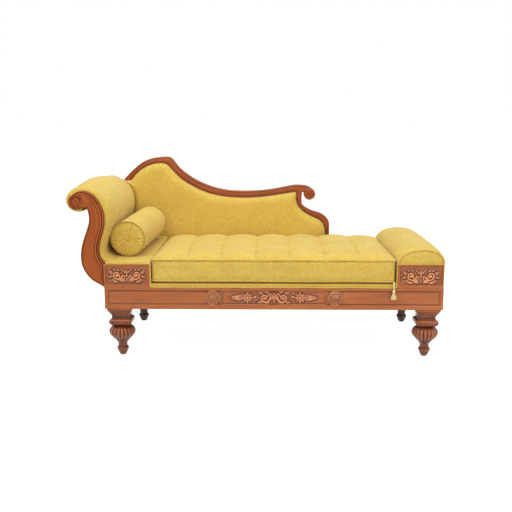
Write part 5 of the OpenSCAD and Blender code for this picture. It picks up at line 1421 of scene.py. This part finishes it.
def foot_roll_cover():
    n, legs = 110, 14
    arch = foot_arch(n)
    normal = right_of(arch)
    heights = np.linspace(RAIL_TOP + 0.3, arch[0, 1] - 2, legs)
    down_r = np.column_stack([np.full(legs, SEAT_L), heights])
    heights = np.linspace(arch[-1, 1] - 2, RAIL_TOP + 0.3, legs)
    down_l = np.column_stack([np.full(legs, FOOT_X - COVER_T), heights])
    l = SEAT_D - 2 * ROLL_INSET
    ts = np.concatenate([[0, 0.002, 0.006, 0.012, 0.02], np.linspace(0.035, 0.965, 50),
                         [0.98, 0.988, 0.994, 0.998, 1]])
    end_share = np.minimum(ts, 1 - ts)
    fill = np.interp(ts, [0, 0.03, 0.1, 0.3, 0.7, 0.9, 0.97, 1], [0, 0.35, 0.75, 1, 1, 0.75, 0.35, 0])
    rings = []
    for t, f in zip(ts, fill):
        off = -2.2 * max(0, 1 - min(t, 1 - t) * l / 5) ** 2
        out = arch[:, :2] + (off + 13.0 * f * arch[:, 2:3]) * normal
        rings.append(across(np.vstack([down_r, out, down_l]), ROLL_INSET + l * t))
    P = np.array(rings)
    flat = P.reshape(-1, 3)
    wob = (value_noise(flat, 70, 31) * 1.1 + value_noise(flat, 160, 32) * 1.5).reshape(P.shape[:2])
    nn = np.zeros_like(P)
    nn[:, legs:-legs, 0], nn[:, legs:-legs, 2] = normal[:, 0], normal[:, 1]
    near_end = np.clip(end_share * 14, 0, 1)[:, None, None]
    P = P + nn * wob[..., None] * near_end * np.pad(arch[:, 2], (legs, legs))[None, :, None]
    # The inner side: the two flaps' thickness, and the arch moved in
    core = np.stack([across(arch[:, :2] - 11 * normal, 0.0)] * len(ts))
    inner = np.concatenate([P[:, :1] + (-2.7, 0, 0), core, P[:, -1:] + (2.7, 0, 0)], axis=1)
    inner[:, 1:-1, 1] = P[:, :1, 1]
    full = np.concatenate([P, inner[:, ::-1]], axis=1)
    ob = Mesh().loft(list(full)).make("foot_roll_cover", gold, stands_for=["foot_roll_upholstery"], sharp=60,
                                      fill=0.85)
    held = np.ones(full.shape[:2])
    held[:, legs + 4:P.shape[1] - legs - 4] = np.clip(1 - end_share * l / 14, 0, 1)[:, None]
    pick = np.concatenate([[0], np.arange(1, len(ts) - 1, 2), [len(ts) - 1]])
    inflate(ob, [(full[pick][:, ::2], held[pick][:, ::2], True)], pressure=3.0, cap=4.0)


def foot_roll_ends():
    """The piping round each end panel, and the panels: shallow pillows inside it."""
    r = PIPING / 2
    rim = beside(foot_arch(110), -r)
    low_z = PLINTH_TOP + r + 0.3
    rim[:, 1] = np.maximum(rim[:, 1], low_z)
    base = np.column_stack([np.linspace(rim[-1, 0], rim[0, 0], 60)[1:-1], np.full(58, low_z)])
    loop = np.vstack([rim, base])
    m = Mesh()
    for y in (ROLL_INSET - 1.8, SEAT_D - ROLL_INSET + 1.8):
        m.tube(across(loop, y), r * 0.92, 10, closed=True)
    m.make("foot_roll_cord", gold, stands_for=["foot_roll_piping"], sharp=0)
    m = Mesh()
    inside = beside(loop, -r * 0.7, closed=True)
    centre = np.array([loop[:, 0].mean(), low_z + 24])
    steps = np.linspace(0, 1, 22)
    # Painted shade where each panel meets its piping
    shade = np.repeat(np.clip((steps - 0.93) * 9, 0, 0.5)[:, None], len(inside), 1)
    for y0, flip in ((0.0, 1), (SEAT_D, -1)):
        rings = []
        for k in steps:
            p = centre + (inside - centre) * k
            d = distance(p[:, 0], p[:, 1], np.vstack([inside, inside[:1]]))
            lump = 0.25 * value_noise(across(p, 0.0), 30, 8) * np.clip(d / 10, 0, 1)
            y = y0 + flip * (4.6 - 3.8 * np.sqrt(np.clip(d / 20, 0, 1)) - lump)
            y = np.maximum(y, 0.2) if flip > 0 else np.minimum(y, SEAT_D - 0.2)
            rings.append(np.column_stack([p[:, 0], y, p[:, 1]]))
        m.grid(np.array(rings), wrap=True, shade=shade)
    m.make("foot_roll_ends", gold, stands_for=["foot_roll_end_panels"], sharp=0, fill=0.5, closed=False)


foot_roll_cover()
foot_roll_ends()

# Seat cushion


def cushion_top(S, T):
    """The tufted top at shares S along and T across from -1 to 1, and the painted shade in its folds."""
    d, inset = CUSH["d"], 5.0
    corner = (np.abs(S) ** 24) * (np.abs(T) ** 24) * 7
    X = CUSH["x0"] + inset + (CUSH_L - 2 * inset) * (S + 1) / 2 - np.sign(S) * corner
    Y = inset + (d - 2 * inset) * (T + 1) / 2 - np.sign(T) * corner
    full = (np.clip(1 - np.abs(S) ** 7, 0, 1) ** 0.33
            * np.clip(1 - np.abs(T) ** np.where(T > 0, 11, 3.4), 0, 1) ** np.where(T > 0, 0.36, 0.5))
    Z = np.full(X.shape, CUSH_RIM - 1.0) + 30.5 * full
    u, v = (S + 1) / 2 * CUSH_COLS, (T + 1) / 2 * CUSH_ROWS
    du = np.abs(u - np.round(u)) * (CUSH_L / CUSH_COLS)
    dv = np.abs(v - (np.floor(v) + 0.5)) * (d / CUSH_ROWS)
    r = np.hypot(du, dv)
    on_line = (np.round(u) > 0) & (np.round(u) < CUSH_COLS)
    groove = np.where(on_line, np.exp(-(du / 26) ** 2) * 5.5 + np.exp(-(du / 8) ** 2) * 1.6, 0)
    pleats = 1.4 * np.exp(-((r - 16) / 12) ** 2) * np.cos(7 * np.arctan2(dv, du + 1e-6))
    tuft = np.where(on_line, np.exp(-(r / 15) ** 2) * 7 + np.exp(-(r / 34) ** 2) * 4 + pleats, 0)
    flat = np.column_stack([X.ravel(), Y.ravel(), np.zeros(X.size)])
    lump = (value_noise(flat, 46, 41) * 1.3 + value_noise(flat, 120, 42) * 2.0).reshape(X.shape)
    Z -= (groove + tuft - lump * 0.8) * np.clip(full * 1.15, 0, 1)
    # Painted shade along the tuft lines and round the buttons
    dark = np.where(on_line, 0.22 * np.exp(-(du / 5) ** 2) + 0.45 * np.exp(-(r / 6) ** 2), 0)
    return np.stack([X, Y, Z], axis=-1), dark * np.clip(full * 1.3, 0, 1)


def rim_of(sheet):
    """The edge of a sheet, once round."""
    return np.concatenate([sheet[0, :-1], sheet[:-1, -1], sheet[-1, :0:-1], sheet[:0:-1, 0]])


def cushion_wall(rim, st):
    """Rings from the top's rim down to the underside, and their painted shade. st has the rim's shares."""
    out = np.where(np.abs(st) > 0.999, np.sign(st), 0)
    h = CUSH_RIM - CUSH_LOW
    upper = [(CUSH_RIM - 4.5, 2.6), (CUSH_RIM - 9, 3.6), (CUSH_RIM - 15, 3.2)]
    middle = [(CUSH_RIM - h * k, 3.0 - 2.4 * sin(pi * k)) for k in np.linspace(0.2, 0.8, 13)]
    lower = [(CUSH_LOW + 13, 3.2), (CUSH_LOW + 8, 3.6), (CUSH_LOW + 4.0, 2.6), (CUSH_LOW - 3.0, -1.0),
             (CUSH_LOW - 8.0, -7.0), (CUSH["z0"] + 0.2, -17.0)]
    levels = upper + middle + lower
    # Painted shade: a dark line under the upper piping and a painted shadow under the rounded bottom
    shades = [0.3, 0.8, 0.25] + [0.0] * (len(levels) - 5) + [0.6] * 3
    pull = np.where(np.abs(out[:, 1]) > 0, np.abs(np.sin((st[:, 0] + 1) / 2 * CUSH_COLS * pi)), 0.6)
    rings = [rim]
    for i, (z, push) in enumerate(levels):
        p = np.column_stack([rim[:, :2] + out * push, np.full(len(rim), z)])
        body = np.clip(1 - abs(i - 9.0) / 9, 0, 1)
        noise = value_noise(p, 55, 43) * 1.5 + value_noise(p, 24, 44) * 0.5
        p[:, 0] += out[:, 0] * (noise + 3.6) * body
        p[:, 1] += out[:, 1] * (noise + 1.4 * pull - 1.0) * body
        rings.append(p)
    return np.array(rings), np.repeat(np.array(shades)[:, None], len(rim), axis=1)


def cushion_held(p):
    """1 where the cushion's cover is sewn down, 0 where it may swell."""
    d = CUSH["d"]
    u, v = (p[..., 0] - CUSH["x0"]) / CUSH_L * CUSH_COLS, p[..., 1] / d * CUSH_ROWS
    du = np.abs(u - np.clip(np.round(u), 1, CUSH_COLS - 1)) * CUSH_L / CUSH_COLS
    dv = np.abs(v - np.floor(np.clip(v, 0, CUSH_ROWS - 0.01)) - 0.5) * d / CUSH_ROWS
    on_top = p[..., 2] > CUSH_RIM + 1
    sewn = np.maximum(np.exp(-(np.hypot(du, dv) / 12) ** 2), 0.25 * np.exp(-(du / 7) ** 2)) * on_top
    return np.maximum(sewn, np.maximum(np.abs(p[..., 2] - CUSH_RIM) < 3.0, p[..., 2] < CUSH_LOW + 2))


def cushion_cover():
    S, T = np.meshgrid(np.linspace(-1, 1, 211), np.linspace(-1, 1, 115))
    top, dark = cushion_top(S, T)
    wall, wall_dark = cushion_wall(rim_of(top), rim_of(np.stack([S, T], axis=-1)))
    around = wall.shape[1]
    m = Mesh().grid(top, shade=dark).grid(wall, wrap=True, shade=wall_dark)
    m.f.append(tuple(m.n - around + k for k in range(around)))
    ob = m.make("seat_cushion_cover", gold, body="seat_cushion", stands_for=["seat_cushion"], sharp=0,
                fill=0.75, closed=False)
    bm = bmesh.new()
    bm.from_mesh(ob.data)
    bmesh.ops.remove_doubles(bm, verts=bm.verts, dist=1e-5)
    bmesh.ops.recalc_face_normals(bm, faces=bm.faces)
    bm.to_mesh(ob.data)
    bm.free()
    top, wall = top[::2, ::2], wall[:, ::2]
    inflate(ob, [(top, cushion_held(top), False), (wall, cushion_held(wall), True)], pressure=3.5, cap=6.0,
            slack=0.008)
    # The cushion's ends stay between the flaps of the ledge pad and the foot roll
    points = points_of(ob.data)
    points[:, 0] = np.clip(points[:, 0], (CUSH["x0"] - 0.2) / 1000 + LOW.x, (CUSH["x1"] + 0.6) / 1000 + LOW.x)
    move_points(ob.data, points)


def cushion_cord():
    r, c = PIPING / 2, 12.0
    left, right, near, far = CUSH["x0"] + r, CUSH["x1"] - r, r, CUSH["d"] - r
    loop = np.vstack([
        np.column_stack([np.linspace(left + c, right - c, 160), np.full(160, near)]),
        arc((right - c, near + c), c, 270, 360, 8)[1:-1],
        np.column_stack([np.full(90, right), np.linspace(near + c, far - c, 90)]),
        arc((right - c, far - c), c, 0, 90, 8)[1:-1],
        np.column_stack([np.linspace(right - c, left + c, 160), np.full(160, far)]),
        arc((left + c, far - c), c, 90, 180, 8)[1:-1],
        np.column_stack([np.full(90, left), np.linspace(far - c, near + c, 90)]),
        arc((left + c, near + c), c, 180, 270, 8)[1:-1]])
    m = Mesh()
    for z, seed in ((CUSH_LOW, 51), (CUSH_RIM - r * 0.55, 52)):
        path = np.column_stack([loop, np.full(len(loop), z)])
        flat = path * (1, 1, 0)
        path[:, 2] += value_noise(flat, 130, seed) * 1.1 + value_noise(flat, 40, seed + 5) * 0.35
        if z > CUSH_LOW:
            path[:, 2] += 1.1 * np.abs(np.sin((path[:, 0] - CUSH["x0"]) / CUSH_L * CUSH_COLS * pi)) - 0.5
        else:
            path[:, 2] += 0.8 * np.sin(path[:, 0] / 83.0)
        m.tube(path, r * 0.86, 10, closed=True)
    m.make("seat_cushion_cord", gold, body="seat_cushion", stands_for=["seat_cushion_piping"], sharp=0)


cushion_cover()
cushion_cord()

# Bolster


def on_bolster(p):
    """Points of a bolster that starts at the origin and runs along y, set down on the ledge."""
    low = float(ledge_top(BOLSTER_Y))
    climb = (float(ledge_top(BOLSTER_Y + BOLSTER_L)) - low) / BOLSTER_L
    turn = -BOLSTER_TURN / BOLSTER_L
    ax, az = sin(climb), sin(turn)
    p = np.asarray(p, float)
    x, y, w = p[..., 0], p[..., 1], p[..., 2]
    y2, w2 = y * cos(ax) - w * sin(ax), y * sin(ax) + w * cos(ax)
    z = low + BOLSTER_R + 0.3 + 3.7
    return np.stack([BOLSTER_X + x * cos(az) - y2 * sin(az), BOLSTER_Y + x * sin(az) + y2 * cos(az), z + w2],
                    axis=-1)


BOLSTER_ENDS = ((0.0, 1), (BOLSTER_L, -1))


def bolster_side(m, a):
    """The long side of the cover, with short pulls at the ends."""
    rings = []
    for s in np.concatenate([[0.012, 0.016, 0.022, 0.032, 0.05, 0.08], np.linspace(0.12, 0.88, 34),
                             [0.92, 0.95, 0.968, 0.978, 0.984, 0.988]]):
        e = min(s, 1 - s) * BOLSTER_L
        r = BOLSTER_R * (0.962 + 0.030 * min(e / 60, 1) ** 0.7) - 2.2 * max(0, 1 - e / 9)
        pts = np.column_stack([r * np.cos(a), np.full(len(a), s * BOLSTER_L), r * np.sin(a)])
        pull = 0.55 * np.exp(-((e - 16) / 16) ** 2) * np.sin(24 * a + 0.8 * np.sin(5 * a))
        wave = value_noise(pts, 80, 61) * 1.3 + value_noise(pts, 34, 62) * 0.5
        k = (r + pull + wave * min(e / 30, 1)) / r
        pts[:, 0] *= k
        pts[:, 2] *= k
        rings.append(on_bolster(pts))
    m.loft(rings, caps=False)


def bolster_pleats(m, a):
    """Both ends of the cover, gathered in uneven pleats to the button."""
    rng = np.random.default_rng(7)
    amp = 0.75 + 0.5 * rng.random(24)
    skew = rng.uniform(-0.22, 0.22, 24)
    reach = rng.uniform(0.78, 0.97, 24)
    pleats = 22
    for end, flip in BOLSTER_ENDS:
        g, sh = [], []
        edges = np.concatenate([[0], np.cumsum(rng.uniform(0.55, 1.5, pleats))])
        edges = edges / edges[-1] * 2 * pi
        idx = np.clip(np.searchsorted(edges, a, side="right") - 1, 0, pleats - 1)
        f = (a - edges[idx]) / (edges[idx + 1] - edges[idx])
        for k in np.concatenate([np.linspace(0.115, 0.9, 34), np.linspace(0.915, 0.955, 6)]):
            ff = np.clip(f + skew[idx] * np.sin(pi * f), 0, 1)
            fold = np.abs(ff - 0.5) * 2
            cutoff = np.clip((reach[idx] - k) / 0.22, 0, 1)
            arch = sin(pi * min(k, 0.93) / 0.93) ** 0.6
            height = 3.2 * amp[idx] * (1 - fold**2.2) * arch * (0.35 + 0.65 * cutoff)
            dome = 7.5 * (1 - k**2) ** 0.8 - 7.0 * exp(-((k - 0.05) / 0.14) ** 2)
            y = 7.0 - dome - height * 0.9 + 5.0 * max(0, (k - 0.9) / 0.06) ** 2 * 0.35
            y = end + flip * np.maximum(y, 0.4)
            g.append(on_bolster(np.column_stack([BOLSTER_R * k * np.cos(a), y, BOLSTER_R * k * np.sin(a)])))
            # Painted shade in the pleats' folds, and a dark ring of painted shade by the piping
            groove = np.clip(fold**6, 0, 1) * np.clip(1.1 - k, 0, 1) ** 0.4 * (0.25 + 0.75 * cutoff)
            sh.append(np.clip(0.9 * groove * np.clip(k / 0.2, 0.3, 1), 0, 0.85) + (0.75 if k > 0.935 else 0))
        m.grid(np.array(g), wrap=True, shade=np.array(sh))


def bolster():
    a = np.linspace(0, 2 * pi, 24 * 12, endpoint=False)
    m = Mesh()
    bolster_side(m, a)
    bolster_pleats(m, a)
    m.make("bolster_cover", gold, body="bolster", stands_for=["bolster"], sharp=0, fill=0.9, closed=False)
    m = Mesh()
    t = np.linspace(0, 2 * pi, 120, endpoint=False)
    r = BOLSTER_R - 3.1
    for end, flip in BOLSTER_ENDS:
        ring = np.column_stack([r * np.cos(t), np.full(120, end + flip * 3.0), r * np.sin(t)])
        # Painted shade on the piping cord
        m.tube(on_bolster(ring), 2.9, 10, closed=True, shade=0.5)
    m.make("bolster_cord", gold, body="bolster", stands_for=["bolster_piping"], sharp=0)
    m = Mesh()
    t = np.linspace(0, 2 * pi, 40, endpoint=False)
    # Radius, distance from the end's plane and painted shade
    button = [(0.4, 0.3, 0), (3.0, 0.5, 0), (6.0, 1.4, 0), (8.6, 3.0, 0), (10.2, 5.2, 0.1), (10.4, 7.0, 0.3),
              (9, 8.4, 0.6), (4, 9.0, 0.6)]
    shade = np.repeat(np.array([dark for r, y, dark in button])[:, None], 40, 1)
    for end, flip in BOLSTER_ENDS:
        g = [on_bolster(np.column_stack([r * np.cos(t), np.full(40, end + flip * y), r * np.sin(t)]))
             for r, y, dark in button]
        m.grid(np.array(g), wrap=True, shade=shade)
        m.f.append(tuple(m.n - len(button) * 40 + k for k in range(40)))
    m.make("bolster_buttons_covered", gold, body="bolster", stands_for=["bolster_buttons"], sharp=0,
           fill=0.9, closed=False)


bolster()

# Tassel


def tassel_ring(r, ry, z, n=32):
    """A level ring about the tassel's axis, r along and ry across."""
    a = np.linspace(0, 2 * pi, n, endpoint=False)
    return np.column_stack([TASSEL_X + r * np.cos(a), TASSEL_Y + ry * np.sin(a), np.full(n, z)])


def tassel():
    top = CUSH["z0"] + PIPING / 2
    m = Mesh()
    t = np.linspace(0, 1, 60)
    for k in range(3):
        a = 2 * pi * (t * 4.2 + k / 3)
        cord = np.column_stack([TASSEL_X + 1.9 * np.cos(a), TASSEL_Y + 1.9 * np.sin(a), top + 5 - 39 * t])
        m.tube(cord, 2.0, 8)
    # The loop's knot, the head ball with its wraps, and the neck
    a = np.linspace(0, 2 * pi, 32, endpoint=False)
    for c, r in ((top + 1, 5.6), (top - 39, 7.8)):
        rings = []
        for q in np.linspace(-88, 88, 22):
            rr = r * cos(radians(q)) * (1 + 0.05 * np.cos(12 * a + q / 12))
            rings.append(tassel_ring(rr, np.minimum(rr, 7.9), c + r * 0.95 * sin(radians(q))))
        m.loft(rings)
    # Painted shade on the wraps and on the core inside the skirt
    for z in (-47.0, -49.0, -51.0):
        m.tube(tassel_ring(5.6, 5.0, top + z, 28), 1.15, 8, closed=True, shade=0.15)
    core = [(4.8, -45), (5.2, -50), (8.0, -55), (10.2, -62), (11.6, -72), (12.0, -79)]
    m.loft([tassel_ring(r, min(r * 0.62, 6.6), top + z) for r, z in core], shade=0.25)
    rng = np.random.default_rng(5)
    threads = 46
    for k in range(threads):
        a = 2 * pi * k / threads + rng.uniform(-0.10, 0.10)
        zs = np.array([-52, -56, -62, -70, -77, -79.5 - rng.uniform(0, 0.5)])
        rs = np.array([5.4, 7.6, 10.3, 11.9, 12.6, 12.8 + rng.uniform(-0.4, 0.3)])
        p = np.column_stack([TASSEL_X + rs * np.cos(a), TASSEL_Y + np.minimum(rs * 0.62, 7.1) * np.sin(a),
                             top + zs])
        m.tube(p, [0.9, 1.0, 1.05, 1.0, 0.95, 0.7], 6, shade=rng.uniform(0, 0.12))
    m.make("tassel_threads", cream, body="tassel", stands_for=["tassel"], slot="silk_thread", sharp=0)


tassel()

# Inner pieces

for mat, nodes in (
        (timber, ("cross_bearers", "corner_braces", "head_plinth_sides", "head_plinth_top",
                  "foot_plinth_sides", "head_frame_boards", "head_frame_rails", "back_posts",
                  "back_lower_rail")),
        (steel, ("leg_bolts", "brace_screws")),
        (hessian, ("webbing_cross_straps", "webbing_long_straps")),
        (black_cloth, ("dust_cover",))):
    for node in nodes:
        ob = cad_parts[node]
        ob.data.materials.clear()
        ob.data.materials.append(mat)


def roll_core():
    arch = beside(foot_arch(60), -11.8)
    arch[:, 1] = np.maximum(arch[:, 1], PLINTH_TOP + 0.6)
    arch[:, 0] = np.clip(arch[:, 0], FOOT_X + 12, SEAT_L - 15)
    rings = [across(arch, y) for y in np.linspace(6, SEAT_D - 6, 16)]
    Mesh().loft(rings).make("foot_roll_stuffing", wadding, stands_for=["foot_roll_core"], slot="stuffing",
                            sharp=40, fill=0.7)


roll_core()
